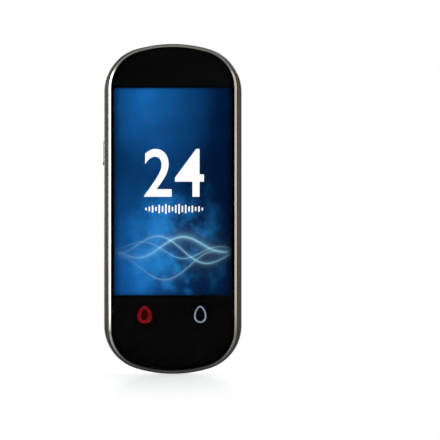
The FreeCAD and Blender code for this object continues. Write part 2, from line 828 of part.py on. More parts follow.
def cut_slot_row(piece, radius, length, count, pitch):
    """One row of speaker slots, fanned below the lens about the lens's own axis."""
    half = S.slot_width / 2
    slot = rounded_box(-half, half, -radius - length / 2, -radius + length / 2, S.slot_corner)
    first = pitch * (count - 1) / 2
    row = piece.cut("y", COVER_INSIDE, COVER_BACK, [slot], (ZERO, LENS_UP), -first)
    piece.fan(row, count, pitch)


def make_back_cover():
    piece = Piece("back_cover")
    piece.add("y", FRAME_BACK, SHOULDER_BACK, [body_outline(ZERO, ZERO)], CENTRED)
    piece.round_edges("y", SHOULDER_BACK, S.shoulder_round)
    groove = panel_outline(S.groove_width)
    piece.cut("y", GROOVE_FLOOR, SHOULDER_BACK + S.fit_gap, [groove], CENTRED)
    piece.add("y", GROOVE_FLOOR, COVER_BACK, [panel_outline(ZERO)], CENTRED)
    piece.round_edges("y", COVER_BACK, S.back_panel_round)
    rebate = S.tongue_thick
    piece.add("y", TONGUE_TIP, FRAME_BACK,
              [body_outline(S.frame_wall_side - rebate, S.frame_wall_end - rebate)], CENTRED)
    inside = body_outline(S.frame_wall_side, S.frame_wall_end)
    piece.cut("y", TONGUE_TIP, SHOULDER_INSIDE, [inside], CENTRED)
    hollow = panel_outline(-S.cover_wall)
    piece.cut("y", SHOULDER_INSIDE, COVER_INSIDE, [hollow], CENTRED)
    seat = circle(ZERO, LENS_UP, S.camera_ring_radius + S.glass_gap)
    piece.cut("y", COVER_BACK - S.camera_seat_depth, COVER_BACK, [seat])
    aperture = circle(ZERO, LENS_UP, S.camera_aperture_radius)
    piece.cut("y", COVER_INSIDE, COVER_BACK - S.camera_seat_depth, [aperture])
    flash = circle(FLASH_ACROSS, FLASH_UP, S.flash_radius + S.glass_gap)
    piece.cut("y", COVER_INSIDE, COVER_BACK, [flash])
    cut_slot_row(piece, S.inner_slot_radius, S.inner_slot_length,
                 S.inner_slot_count, S.inner_slot_pitch)
    cut_slot_row(piece, S.outer_slot_radius, S.outer_slot_length,
                 S.outer_slot_count, S.outer_slot_pitch)


# Camera and flash

def make_camera_trim():
    seat = COVER_BACK - S.camera_seat_depth
    inner = S.camera_ring_radius - S.camera_ring_width
    front = COVER_BACK + S.camera_ring_proud
    Piece("camera_ring").turn(ZERO, LENS_UP, [
        (inner, seat), (S.camera_ring_radius, seat), (S.camera_ring_radius, COVER_BACK),
        (S.camera_ring_radius - S.camera_ring_proud, front), (inner, front)])
    glass = Piece("camera_window")
    glass.add("y", seat, COVER_BACK - S.camera_window_sink,
              [circle(ZERO, LENS_UP, inner - S.glass_gap)])


def make_camera_module():
    half = S.camera_body_size / 2
    square = box(-half, half, LENS_UP - half, LENS_UP + half)
    base = BOARD_BACK + S.camera_sensor_thick
    top = COVER_INSIDE - S.camera_headroom
    Piece("camera_sensor").add("y", BOARD_BACK, base, [square])
    housing = Piece("camera_housing")
    housing.add("y", base, top, [square])
    housing.cut("y", base, top, [circle(ZERO, LENS_UP, S.camera_floor_hole)])
    bore = circle(ZERO, LENS_UP, S.barrel_radius + S.barrel_gap)
    housing.cut("y", base + S.camera_floor, top, [bore])
    bottom = base + S.camera_floor + S.barrel_gap + S.focus_travel
    end = bottom + S.barrel_height
    inner = S.barrel_radius - S.barrel_wall
    barrel = Piece("focus_barrel")
    barrel.add("y", bottom, end, [circle(ZERO, LENS_UP, S.barrel_radius)])
    barrel.cut("y", bottom, end, [circle(ZERO, LENS_UP, inner)])
    lens = Piece("camera_lens")
    rim = end - S.lens_thick / 2
    lens.turn(ZERO, LENS_UP, [
        (ZERO, end - S.lens_thick), (inner * 0.6, end - S.lens_thick * 0.9),
        (inner, rim - S.lens_thick / 4), (inner, rim + S.lens_thick / 4),
        (inner * 0.6, end - S.lens_thick * 0.1), (ZERO, end)])
    gasket = Piece("camera_gasket")
    outer = S.camera_body_size / 2
    gasket.add("y", top, COVER_INSIDE, [circle(ZERO, LENS_UP, outer)])
    gasket.cut("y", top, COVER_INSIDE, [circle(ZERO, LENS_UP, S.barrel_radius + S.barrel_gap)])


def make_flash():
    half = S.flash_led_size / 2
    top = BOARD_BACK + S.flash_led_thick
    Piece("flash_lamp").add("y", BOARD_BACK, top, [
        box(FLASH_ACROSS - half, FLASH_ACROSS + half, FLASH_UP - half, FLASH_UP + half)])
    Piece("flash_window").add("y", top + S.fit_gap, COVER_BACK,
                              [circle(FLASH_ACROSS, FLASH_UP, S.flash_radius)])


# Speaker

def make_speaker():
    floor = BOARD_BACK
    yoke_floor = floor + S.yoke_wall
    yoke_top = floor + S.yoke_height
    wall = S.yoke_radius - S.yoke_wall
    Piece("speaker_yoke").turn(ZERO, SPEAKER_UP, [
        (ZERO, floor), (S.yoke_radius, floor), (S.yoke_radius, yoke_top),
        (wall, yoke_top), (wall, yoke_floor), (ZERO, yoke_floor)])
    Piece("speaker_magnet").add("y", yoke_floor, yoke_floor + S.magnet_height,
                                [circle(ZERO, SPEAKER_UP, S.magnet_radius)])
    cone_front = yoke_floor + S.cone_travel * 2 + S.coil_height
    coil = Piece("voice_coil")
    outer = S.coil_radius + S.coil_thick
    coil.add("y", cone_front - S.coil_height, cone_front, [circle(ZERO, SPEAKER_UP, outer)])
    coil.cut("y", cone_front - S.coil_height, cone_front,
             [circle(ZERO, SPEAKER_UP, S.coil_radius)])
    basket_top = floor + S.speaker_height
    well = S.speaker_radius - S.speaker_rim
    shelf = cone_front - S.cone_travel * 2
    Piece("speaker_basket").turn(ZERO, SPEAKER_UP, [
        (S.yoke_radius, floor + S.yoke_wall), (S.speaker_radius, floor + S.yoke_wall * 2),
        (S.speaker_radius, basket_top), (well, basket_top), (well, shelf),
        (S.yoke_radius, shelf)])
    rim = well - S.cone_gap
    back = cone_front + S.cone_thick
    roll = outer + S.coil_thick
    Piece("speaker_cone").turn(ZERO, SPEAKER_UP, [
        (ZERO, cone_front + S.cone_rise), (S.coil_radius, cone_front), (rim, cone_front),
        (rim, back), (roll, back), (ZERO, back + S.cone_rise)])
    seal = Piece("speaker_seal")
    seal.add("y", basket_top, COVER_INSIDE, [circle(ZERO, SPEAKER_UP, S.speaker_radius)])
    seal.cut("y", basket_top, COVER_INSIDE, [circle(ZERO, SPEAKER_UP, well)])
    Piece("speaker_mesh").add("y", COVER_INSIDE - S.tape_thick, COVER_INSIDE,
                              [circle(ZERO, SPEAKER_UP, well - S.glass_gap)])


# Side key

def make_side_key():
    piece = Piece("side_key")
    middle = -S.key_centre_depth
    half = S.key_width / 2
    side = -S.body_width / 2
    flange_outer = -INNER_SIDE + S.key_gap
    flange_inner = flange_outer + S.key_flange_thick
    cap = box(middle - half, middle + half, KEY_BOTTOM, KEY_TOP)
    piece.add("x", side - S.key_proud, flange_outer, [cap])
    piece.round_edges("x", side - S.key_proud, S.key_edge_round)
    nib = box(middle - half, middle + half, NIB_BOTTOM, KEY_BOTTOM)
    piece.add("x", side - S.nib_proud, flange_outer, [nib])
    lip = S.key_flange_lip
    flange = box(middle - half - lip, middle + half + lip, NIB_BOTTOM - lip, KEY_TOP + lip)
    piece.add("x", flange_outer, flange_inner, [flange])
    reach = S.key_plunger_length / 2
    plunger = box(middle - half / 2, middle + half / 2, KEY_MIDDLE - reach, KEY_MIDDLE + reach)
    piece.add("x", flange_inner, flange_inner + S.key_plunger_reach, [plunger])


def make_key_switch():
    middle = -S.key_centre_depth
    half = S.key_width / 2
    plunger_tip = -INNER_SIDE + S.key_gap + S.key_flange_thick + S.key_plunger_reach
    dome_height = S.key_travel + S.dome_gap
    dome_base = plunger_tip + S.dome_gap + dome_height
    switch_back = dome_base + S.key_switch_thick
    flex_back = switch_back + S.flex_thick
    bracket_back = flex_back + S.key_bracket_thick
    dome = Piece("key_dome")
    dome.add("x", dome_base - dome_height, dome_base,
             [circle(middle, KEY_MIDDLE, S.dome_radius)])
    dome.round_edges("x", dome_base - dome_height, dome_height * 0.9)
    reach = S.key_switch_length / 2
    Piece("key_switch").add("x", dome_base, switch_back, [
        box(middle - half, middle + half, KEY_MIDDLE - reach, KEY_MIDDLE + reach)])
    lip = S.key_flange_lip
    Piece("key_flex").add("x", switch_back, flex_back, [
        box(middle - half, middle + half, NIB_BOTTOM, KEY_TOP)])
    bracket = Piece("key_bracket")
    bracket.add("x", flex_back, bracket_back, [
        box(PLATE_BACK, middle + half + lip, NIB_BOTTOM - lip, KEY_TOP + lip)])
    foot_thick = S.key_bracket_thick
    bracket.add("x", bracket_back, bracket_back + S.key_bracket_foot, [
        box(PLATE_BACK, PLATE_BACK + foot_thick, NIB_BOTTOM - lip, MAIN_BOTTOM - S.fit_gap)])


# Circuit boards

def make_boards():
    side = BOARD_SIDE
    main = Piece("main_board")
    main.add("y", BOARD_FRONT, BOARD_BACK,
             [rounded_box(-side, side, MAIN_BOTTOM, MAIN_TOP, S.board_corner)])
    lower = Piece("lower_board")
    lower.add("y", BOARD_FRONT, BOARD_BACK,
              [rounded_box(-side, side, LOWER_BOTTOM, LOWER_TOP, S.board_corner)])
    bore = S.screw_shank_radius + S.screw_hole_gap
    high = MAIN_BOTTOM + S.board_screw_inset
    low = LOWER_TOP - S.board_screw_inset
    main.cut("y", BOARD_FRONT, BOARD_BACK, mirrored(circle, BOARD_SCREW_SIDE, high, bore))
    lower.cut("y", BOARD_FRONT, BOARD_BACK, mirrored(circle, BOARD_SCREW_SIDE, low, bore))
    half = S.socket_width / 2 + S.socket_gap
    notch_top = S.socket_sink + S.socket_depth + S.socket_gap
    lower.cut("y", BOARD_FRONT, BOARD_BACK, [box(-half, half, ZERO, notch_top)])


def make_chips():
    inner = S.speaker_radius + S.can_speaker_gap
    outer = BOARD_SIDE - S.can_edge_gap
    wide = (outer - inner) / 2
    side = (outer + inner) / 2
    tall = S.can_length / 2
    half = wide - S.chip_margin
    reach = S.chip_length / 2
    for name, across in (("processor", side), ("radio", -side)):
        chip = Piece(f"{name}_chip")
        chip.add("y", BOARD_BACK, BOARD_BACK + S.chip_thick, [
            box(across - half, across + half, SPEAKER_UP - reach, SPEAKER_UP + reach)])
        can = Piece(f"{name}_shield")
        top = BOARD_BACK + S.can_height
        can.add("y", BOARD_BACK, top, [
            box(across - wide, across + wide, SPEAKER_UP - tall, SPEAKER_UP + tall)])
        wide_in = wide - S.can_wall
        tall_in = tall - S.can_wall
        can.cut("y", BOARD_BACK, top - S.can_wall, [
            box(across - wide_in, across + wide_in, SPEAKER_UP - tall_in, SPEAKER_UP + tall_in)])


def link_side():
    """The inner edge of the flex that runs beside the battery from board to board."""
    return BATTERY_SIDE + S.fit_gap


def make_board_connectors():
    piece = Piece("board_connectors")
    low, high = flex_slot()
    half = S.screen_flex_width / 2
    inner = link_side()
    outer = inner + S.connector_width
    reach = S.connector_length
    piece.add("y", PLATE_BACK + S.flex_thick, BOARD_FRONT, [
        box(-half, half, high + S.fit_gap, high + S.fit_gap + S.connector_width),
        box(inner, outer, MAIN_BOTTOM, MAIN_BOTTOM + S.connector_width),
        box(inner, outer, LOWER_TOP - S.connector_width, LOWER_TOP),
        box(-reach / 2, reach / 2, S.icon_height + S.fit_gap,
            S.icon_height + S.fit_gap + S.connector_width)])


def make_link_flex():
    inner = link_side()
    Piece("board_link_flex").add("y", PLATE_BACK, PLATE_BACK + S.flex_thick, [
        box(inner, inner + S.link_width, LOWER_TOP - S.connector_width,
            MAIN_BOTTOM + S.connector_width)])


def make_battery():
    front = PLATE_BACK + S.tape_thick
    back = SHOULDER_INSIDE - S.battery_clearance
    cell = rounded_box(-BATTERY_SIDE, BATTERY_SIDE, BATTERY_BOTTOM, BATTERY_TOP,
                       S.battery_corner)
    Piece("battery").add("y", front, back, [cell])
    margin = S.tape_width
    Piece("battery_tape").add("y", PLATE_BACK, front, [
        box(margin - BATTERY_SIDE, BATTERY_SIDE - margin,
            BATTERY_BOTTOM + margin, BATTERY_TOP - margin)])
    half = S.battery_connector_width / 2
    side = BATTERY_SIDE - S.battery_connector_inset
    low = MAIN_BOTTOM + S.fit_gap
    high = low + S.battery_connector_length
    Piece("battery_connector").add("y", BOARD_BACK, BOARD_BACK + S.battery_connector_height, [
        box(side - half, side + half, low, high)])
    lead_front = BOARD_BACK + S.tape_thick
    Piece("battery_lead").add("y", lead_front, lead_front + S.tape_thick, [
        box(side - half, side + half, BATTERY_TOP, low)])


# Charging socket and microphones

def make_socket():
    shell = Piece("socket_shell")
    mouth = S.socket_sink
    end = mouth + S.socket_depth
    shell.add("z", mouth, end, [socket_outline(ZERO)])
    shell.cut("z", mouth, end - S.socket_wall, [socket_outline(S.socket_wall)])
    half_wide = S.tongue_plate_width / 2
    half_thick = S.tongue_plate_thick / 2
    middle = SOCKET_DEPTH_CENTRE
    Piece("socket_tongue").add("z", mouth + S.tongue_plate_sink, end - S.socket_wall, [
        box(-half_wide, half_wide, middle - half_thick, middle + half_thick)])


def make_microphones():
    half = S.mic_size / 2
    back = BOARD_BACK + S.mic_thick
    sag = S.board_end_gap
    low = LOWER_BOTTOM + sag
    high = MAIN_TOP - sag
    side = S.mic_side
    Piece("microphones").add("y", BOARD_BACK, back, [
        box(side - half, side + half, low, low + S.mic_size),
        box(side - half, side + half, high - S.mic_size, high)])
    seals = Piece("microphone_seals")
    ring = [circle(side, mic_depth(), S.mic_seal_radius)]
    hole = [circle(side, mic_depth(), S.mic_port_radius)]
    spans = ((low - sag + S.mic_seal_clear, low), (high, high + sag - S.mic_seal_clear))
    for bottom, top in spans:
        seals.add("z", bottom, top, ring)
    for bottom, top in spans:
        seals.cut("z", bottom, top, hole)


def make_antenna():
    half = S.antenna_width / 2
    low = MAIN_BOTTOM + S.fit_gap
    front = COVER_INSIDE - S.tape_thick
    Piece("antenna").add("y", front, COVER_INSIDE,
                         [box(-half, half, low, low + S.antenna_height)])
    contacts = Piece("antenna_contacts")
    contacts.add("y", BOARD_BACK, front, mirrored(
        circle, S.antenna_contact_side, low + S.antenna_height / 2, S.antenna_contact_radius))


def check_document():
    """Stop if anything in the document failed or came out empty."""
    DOC.recompute()
    for item in DOC.Objects:
        if "Invalid" in item.State or "Error" in item.State:
            raise RuntimeError(f"{item.Label} failed: {item.State}")
    for body in PIECES:
        if body.Shape.isNull() or not body.Shape.isValid() or not body.Shape.Solids:
            raise RuntimeError(f"{body.Label} has no sound solid")


def export_pieces():
    """Write each piece to its own file."""
    os.makedirs("parts", exist_ok=True)
    for body in PIECES:
        body.Shape.exportStep(f"parts/{body.Label}.step")


make_front_glass()
make_glass_mask()
make_touch_icons()
make_glass_tape()
make_bezel_ring()
make_screen_layers()
make_display_tape()
make_display_flex()
make_touch_key_lights()
make_touch_key_tail()
make_mid_frame()
make_chassis_plate()
make_screws()
make_back_cover()
make_camera_trim()
make_camera_module()
make_flash()
make_speaker()
make_side_key()
make_key_switch()
make_boards()
make_chips()
make_board_connectors()
make_link_flex()
make_battery()
make_socket()
make_microphones()
make_antenna()
check_document()
export_pieces()
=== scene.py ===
"""Looks of a slim handheld translator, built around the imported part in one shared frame."""

from __future__ import annotations

import json
import logging
import math
from dataclasses import dataclass
from enum import Enum
from typing import Callable, Sequence

import bmesh
import bpy
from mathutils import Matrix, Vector
from mathutils.kdtree import KDTree


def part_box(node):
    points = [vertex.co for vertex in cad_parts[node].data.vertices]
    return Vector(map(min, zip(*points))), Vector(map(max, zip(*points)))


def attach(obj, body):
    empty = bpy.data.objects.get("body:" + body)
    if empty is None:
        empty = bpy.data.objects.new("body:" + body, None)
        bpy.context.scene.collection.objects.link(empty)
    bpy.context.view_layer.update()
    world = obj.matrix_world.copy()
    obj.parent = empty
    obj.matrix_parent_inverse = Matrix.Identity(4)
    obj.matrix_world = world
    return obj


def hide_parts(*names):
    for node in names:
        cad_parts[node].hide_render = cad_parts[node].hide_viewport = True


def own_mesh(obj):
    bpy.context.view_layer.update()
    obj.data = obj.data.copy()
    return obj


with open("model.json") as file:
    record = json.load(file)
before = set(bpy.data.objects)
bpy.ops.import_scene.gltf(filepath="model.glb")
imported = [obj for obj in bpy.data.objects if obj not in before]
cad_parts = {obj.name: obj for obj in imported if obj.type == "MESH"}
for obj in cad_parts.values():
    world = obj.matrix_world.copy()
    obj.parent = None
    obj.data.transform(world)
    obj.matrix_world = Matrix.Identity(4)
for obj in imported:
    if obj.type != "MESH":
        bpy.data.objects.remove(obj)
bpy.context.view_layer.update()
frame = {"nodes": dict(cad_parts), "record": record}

MM = 0.001
ROUND_STEPS = 96
POLE_REACH = 1e-6
HALF_TURN = 3.1416
LENS_AXIS = (0.0, 0.0, 124.9)
FLASH_AXIS = (-4.5, 0.0, 129.1)
Colour = tuple[float, float, float]
Point = tuple[float, float, float]
Profile = tuple[tuple[float, float], ...]
Object = bpy.types.Object
Socket = bpy.types.NodeSocket

logging.basicConfig(level=logging.INFO, format="%(message)s")
LOG = logging.getLogger("translator")


class Body(Enum):
    """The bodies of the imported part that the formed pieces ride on."""

    CASE = "body"
    KEY = "side_key"


# Mesh work


def metres(lengths: Sequence[float]) -> tuple[float, ...]:
    """Lengths in mm, as metres."""
    return tuple(length * MM for length in lengths)


def take(obj: Object) -> None:
    """Make one object the only selected and active one, in object mode.

    Args:
        obj: The object to work on.
    """
    if bpy.context.mode != "OBJECT":
        bpy.ops.object.mode_set(mode="OBJECT")
    bpy.ops.object.select_all(action="DESELECT")
    obj.select_set(True)
    bpy.context.view_layer.objects.active = obj


def release() -> None:
    """Leave edit mode and deselect everything."""
    if bpy.context.mode != "OBJECT":
        bpy.ops.object.mode_set(mode="OBJECT")
    bpy.ops.object.select_all(action="DESELECT")


def settle(obj: Object, name: str) -> Object:
    """Give an object its name and move its place into its mesh.

    Args:
        obj: The object just made.
        name: The name that it gets, also for its mesh.

    Returns:
        The same object.
    """
    take(obj)
    bpy.ops.object.transform_apply(location=True, rotation=True, scale=True)
    obj.name = name
    obj.data.name = name
    return obj


def turn_outward(obj: Object, merge: float = 0.0) -> None:
    """Merge doubled points and point every face outwards.

    Args:
        obj: A closed mesh.
        merge: The distance under which two points become one, in metres.
    """
    take(obj)
    bpy.ops.object.mode_set(mode="EDIT")
    bpy.ops.mesh.select_all(action="SELECT")
    if merge > 0:
        bpy.ops.mesh.remove_doubles(threshold=merge)
    bpy.ops.mesh.normals_make_consistent(inside=False)
    bpy.ops.object.mode_set(mode="OBJECT")


def sweep(name: str, rings: Sequence[Sequence[Point]], looped: bool = False) -> Object:
    """Extrude a ring of points through further rings.

    Args:
        name: The new object's name.
        rings: Rings of equally many points, in metres.
        looped: True for a tube that closes on its first ring, and False for a
            solid with a face over its first and last ring.

    Returns:
        The new object, closed and facing outwards.
    """
    release()
    fill = "NOTHING" if looped else "NGON"
    bpy.ops.mesh.primitive_circle_add(vertices=len(rings[0]), radius=1.0, fill_type=fill)
    obj = bpy.context.active_object
    for vertex, place in zip(obj.data.vertices, rings[0]):
        vertex.co = place
    bpy.ops.object.mode_set(mode="EDIT")
    bpy.ops.mesh.select_all(action="SELECT")
    former = rings[0]
    for ring in [*rings[1:], *([rings[0]] if looped else [])]:
        near = KDTree(len(former))
        for index, place in enumerate(former):
            near.insert(place, index)
        near.balance()
        bpy.ops.mesh.extrude_region()
        mesh = bmesh.from_edit_mesh(obj.data)
        for vertex in mesh.verts:
            if vertex.select:
                vertex.co = ring[near.find(vertex.co)[1]]
        bmesh.update_edit_mesh(obj.data)
        former = ring
    bpy.ops.object.mode_set(mode="OBJECT")
    settle(obj, name)
    turn_outward(obj, 1e-7 if looped else 0.0)
    return obj


def carve(obj: Object, cutter: Object) -> None:
    """Cut one closed object out of another and delete the cutter.

    Args:
        obj: The piece that is cut.
        cutter: The closed tool object.
    """
    take(obj)
    cut = obj.modifiers.new("cut", "BOOLEAN")
    cut.operation = "DIFFERENCE"
    cut.solver = "EXACT"
    cut.object = cutter
    bpy.ops.object.modifier_apply(modifier=cut.name)
    bpy.data.objects.remove(cutter)


def soften(obj: Object, width: float, segments: int = 2, angle: float = 35.0) -> None:
    """Round the sharp edges of a piece.

    Args:
        obj: The piece.
        width: The rounding's width, in mm.
        segments: The faces across the rounding.
        angle: The least angle of an edge that is rounded, in degrees.
    """
    take(obj)
    bevel = obj.modifiers.new("rounding", "BEVEL")
    bevel.width = width * MM
    bevel.segments = segments
    bevel.limit_method = "ANGLE"
    bevel.angle_limit = math.radians(angle)
    bevel.use_clamp_overlap = False
    bpy.ops.object.modifier_apply(modifier=bevel.name)


def smooth(obj: Object, angle: float = 32.0, weighted: bool = True) -> None:
    """Shade a piece smooth, with its sharp edges kept and its flats flat.

    Args:
        obj: The piece.
        angle: The least angle of an edge that stays sharp, in degrees.
        weighted: True where large flat faces decide the shading next to them.
    """
    take(obj)
    bpy.ops.object.shade_smooth_by_angle(angle=math.radians(angle))
    if weighted:
        weights = obj.modifiers.new("weights", "WEIGHTED_NORMAL")
        weights.keep_sharp = True
        bpy.ops.object.modifier_apply(modifier=weights.name)


def copy_of(obj: Object, name: str) -> Object:
    """A copy of a piece with a mesh of its own.

    Args:
        obj: The piece to copy.
        name: The copy's name.

    Returns:
        The copy.
    """
    twin = obj.copy()
    twin.data = obj.data.copy()
    twin.name = name
    twin.data.name = name
    bpy.context.scene.collection.objects.link(twin)
    return twin


def joined(parts: Sequence[Object], name: str) -> Object:
    """Join several objects into one.

    Args:
        parts: The objects, of which the first stays.
        name: The name of the result.

    Returns:
        The joined object.
    """
    take(parts[0])
    for part in parts[1:]:
        part.select_set(True)
    bpy.ops.object.join()
    parts[0].name = name
    parts[0].data.name = name
    return parts[0]


def turned(name: str, centre: Point, profile: Profile) -> Object:
    """Turn a closed outline about a line along Y.

    Args:
        name: The new object's name.
        centre: A point on the line, in mm; its Y isn't used.
        profile: The outline as radius and Y, in mm, in order.

    Returns:
        The new object, with its pole points merged.
    """
    x, _, z = metres(centre)
    turns = [2 * math.pi * step / ROUND_STEPS for step in range(ROUND_STEPS)]
    rings = []
    for radius, depth in profile:
        reach = max(radius * MM, POLE_REACH)
        rings.append([(x + reach * math.cos(turn), depth * MM, z + reach * math.sin(turn))
                      for turn in turns])
    if profile[0][0] > 0 and profile[-1][0] > 0:
        return sweep(name, rings, looped=True)
    obj = sweep(name, rings)
    turn_outward(obj, 3 * POLE_REACH)
    return obj


def rod(name: str, centre: Point, radius: float, length: float, along: str = "y",
        steps: int = ROUND_STEPS) -> Object:
    """A round rod, used as a tool.

    Args:
        name: Its name.
        centre: Its centre, in mm.
        radius: Its radius, in mm.
        length: Its length, in mm.
        along: The axis that it runs along, y or z.
        steps: The faces around.

    Returns:
        The rod.
    """
    release()
    tilt = math.pi / 2 if along == "y" else 0.0
    bpy.ops.mesh.primitive_cylinder_add(
        vertices=steps, radius=radius * MM, depth=length * MM, location=metres(centre),
        rotation=(tilt, 0.0, 0.0))
    return settle(bpy.context.active_object, name)


def rounded_block(name: str, low: Point, high: Point, along: int, corner: float,
                  segments: int = 5) -> Object:
    """A box whose edges along one axis are round.

    Args:
        name: The new object's name.
        low: The lowest corner, in mm.
        high: The highest corner, in mm.
        along: The axis of the round edges, as 0, 1 or 2.
        corner: Their radius, in mm.
        segments: The faces across each rounding.

    Returns:
        The new object.
    """
    release()
    low, high = metres(low), metres(high)
    bpy.ops.mesh.primitive_cube_add(size=1.0, location=[(a + b) / 2 for a, b in zip(low, high)])
    obj = bpy.context.active_object
    obj.scale = [b - a for a, b in zip(low, high)]
    settle(obj, name)
    take(obj)
    bpy.ops.object.mode_set(mode="EDIT")
    bpy.ops.mesh.select_all(action="DESELECT")
    bpy.ops.mesh.select_mode(type="EDGE")
    mesh = bmesh.from_edit_mesh(obj.data)
    for edge in mesh.edges:
        run = edge.verts[0].co - edge.verts[1].co
        edge.select_set(abs(run[along]) > 1e-9)
    bmesh.update_edit_mesh(obj.data)
    bpy.ops.mesh.bevel(offset=corner * MM, segments=segments, affect="EDGES")
    bpy.ops.mesh.select_mode(type="VERT")
    bpy.ops.object.mode_set(mode="OBJECT")
    return obj


@dataclass(frozen=True)
class Outline:
    """A closed outline with straight sides, crowned ends and round corners, in mm."""

    half_width: float = 28.75
    half_length: float = 69.0
    crown: float = 53.3
    corner: float = 18.7
    middle: float = 69.0
    corner_share: float = 1.0
    # The steps along half a side, a corner and half a crown
    runs: tuple[int, int, int] = (8, 18, 16)

    def inset(self, side: float, end: float) -> "Outline":
        """The outline drawn inwards at its sides and its ends."""
        return Outline(self.half_width - side, self.half_length - end, self.crown - end,
                       self.corner - side * self.corner_share, self.middle, self.corner_share)

    def ring(self, depth: float) -> list[Point]:
        """Points round the outline, counted the same for every outline.

        Args:
            depth: Their Y, in mm.

        Returns:
            The points, in metres.
        """
        sides, corners, crowns = self.runs
        across = self.half_width - self.corner
        gap = self.crown - self.corner
        rise = math.sqrt(gap * gap - across * across)
        high = self.half_length - self.crown
        turn = math.atan2(rise, across)
        quarter = [(self.half_width, (high + rise) * i / sides) for i in range(sides)]
        for i in range(corners):
            angle = turn * i / corners
            quarter.append((across + self.corner * math.cos(angle),
                            high + rise + self.corner * math.sin(angle)))
        for i in range(crowns + 1):
            angle = turn + (math.pi / 2 - turn) * i / crowns
            quarter.append((self.crown * math.cos(angle), high + self.crown * math.sin(angle)))
        half = quarter + [(-x, z) for x, z in reversed(quarter[:-1])]
        full = half + [(x, -z) for x, z in reversed(half[1:-1])]
        return [(x * MM, depth * MM, (self.middle + z) * MM) for x, z in full]


def blended(points: Sequence[Point], steps: int) -> list[Point]:
    """A smooth run through a few section points.

    Args:
        points: The points to pass.
        steps: The steps between two of them.

    Returns:
        The run, with the given points in it.
    """
    run = []
    last = len(points) - 1
    for i in range(last):
        p0, p1 = points[max(i - 1, 0)], points[i]
        p2, p3 = points[i + 1], points[min(i + 2, last)]
        for k in range(steps):
            t = k / steps
            run.append(tuple(
                0.5 * (2 * b + (c - a) * t + (2 * a - 5 * b + 4 * c - d) * t * t
                       + (3 * b - a - 3 * c + d) * t * t * t)
                for a, b, c, d in zip(p0, p1, p2, p3)))
    run.append(tuple(points[last]))
    return run


# Node trees


class Layout:
    """A node tree that is being laid out."""

    def __init__(self, tree: bpy.types.NodeTree) -> None:
        """Start on a tree."""
        self.tree = tree

    def node(self, kind: str, **settings: object) -> bpy.types.Node:
        """Add a node.

        Args:
            kind: The node's type, without the ShaderNode in front.
            settings: Properties of the node.

        Returns:
            The node.
        """
        made = self.tree.nodes.new("ShaderNode" + kind)
        for key, value in settings.items():
            setattr(made, key, value)
        return made

    def feed(self, socket: Socket, value: object) -> None:
        """Link a socket to another one, or set its value.

        Args:
            socket: The input to feed.
            value: An output socket, a number or several numbers.
        """
        if isinstance(value, Socket):
            self.tree.links.new(value, socket)
        elif isinstance(value, (tuple, list)) and socket.type == "RGBA" and len(value) == 3:
            socket.default_value = (*value, 1.0)
        else:
            socket.default_value = value

    def math(self, operation: str, *values: object, clamp: bool = False) -> Socket:
        """Add a Math node.

        Args:
            operation: Its operation.
            values: Its inputs, as sockets or numbers.
            clamp: True to keep the result from 0 to 1.

        Returns:
            Its output.
        """
        made = self.node("Math", operation=operation, use_clamp=clamp)
        for socket, value in zip(made.inputs, values):
            self.feed(socket, value)
        return made.outputs[0]

    def shaded(self, colour: object, value: Socket) -> Socket:
        """Multiply a colour by a value.

        Args:
            colour: The colour.
            value: The value.

        Returns:
            The shaded colour.
        """
        grey = self.node("CombineColor")
        for socket in grey.inputs:
            self.feed(socket, value)
        return self.mix(1.0, colour, grey.outputs[0], "MULTIPLY")

    def both(self, share: Socket, first: Socket, second: Socket) -> Socket:
        """Mix two shaders.

        Args:
            share: The share of the second one.
            first: The first shader.
            second: The second shader.

        Returns:
            The mixed shader.
        """
        made = self.node("MixShader")
        for socket, value in zip(made.inputs, (share, first, second)):
            self.feed(socket, value)
        return made.outputs[0]

    def mix(self, factor: object, first: object, second: object,
            blend: str = "MIX") -> Socket:
        """Add a node that mixes two colours.

        Args:
            factor: The share of the second colour.
            first: The first colour.
            second: The second colour.
            blend: The way of mixing.

        Returns:
            The mixed colour.
        """
        made = self.node("Mix", data_type="RGBA", blend_type=blend)
        self.feed(made.inputs[0], factor)
        self.feed(made.inputs[6], first)
        self.feed(made.inputs[7], second)
        return made.outputs[2]

    def spread(self, value: object, low: float, high: float, start: float = 0.0,
               end: float = 1.0, smoothly: bool = False) -> Socket:
        """Map a range of a value onto another range.

        Args:
            value: The value to map.
            low: Where the range starts.
            high: Where it ends.
            start: What its start becomes.
            end: What its end becomes.
            smoothly: True for a soft step.

        Returns:
            The mapped value.
        """
        kind = "SMOOTHSTEP" if smoothly else "LINEAR"
        made = self.node("MapRange", interpolation_type=kind)
        for index, item in enumerate((value, low, high, start, end)):
            self.feed(made.inputs[index], item)
        return made.outputs[0]

    def place(self, centre: Point = (0, 0, 0), scale: Point = (1, 1, 1)) -> Socket:
        """Object coordinates, moved and scaled.

        Args:
            centre: What becomes zero, in metres.
            scale: The scale along each axis.

        Returns:
            The coordinates.
        """
        where = self.node("TexCoord").outputs["Object"]
        moved = self.node("Mapping")
        self.feed(moved.inputs["Vector"], where)
        moved.inputs["Scale"].default_value = scale
        moved.inputs["Location"].default_value = [-c * s for c, s in zip(centre, scale)]
        return moved.outputs[0]

    def noise(self, where: object, scale: object, detail: float = 3.0,
              roughness: float = 0.55) -> Socket:
        """Add a noise texture.

        Args:
            where: Its coordinates.
            scale: Its scale.
            detail: Its detail.
            roughness: The share of the fine detail.

        Returns:
            Its value.
        """
        made = self.node("TexNoise")
        self.feed(made.inputs["Vector"], where)
        self.feed(made.inputs["Scale"], scale)
        made.inputs["Detail"].default_value = detail
        made.inputs["Roughness"].default_value = roughness
        return made.outputs["Fac"]


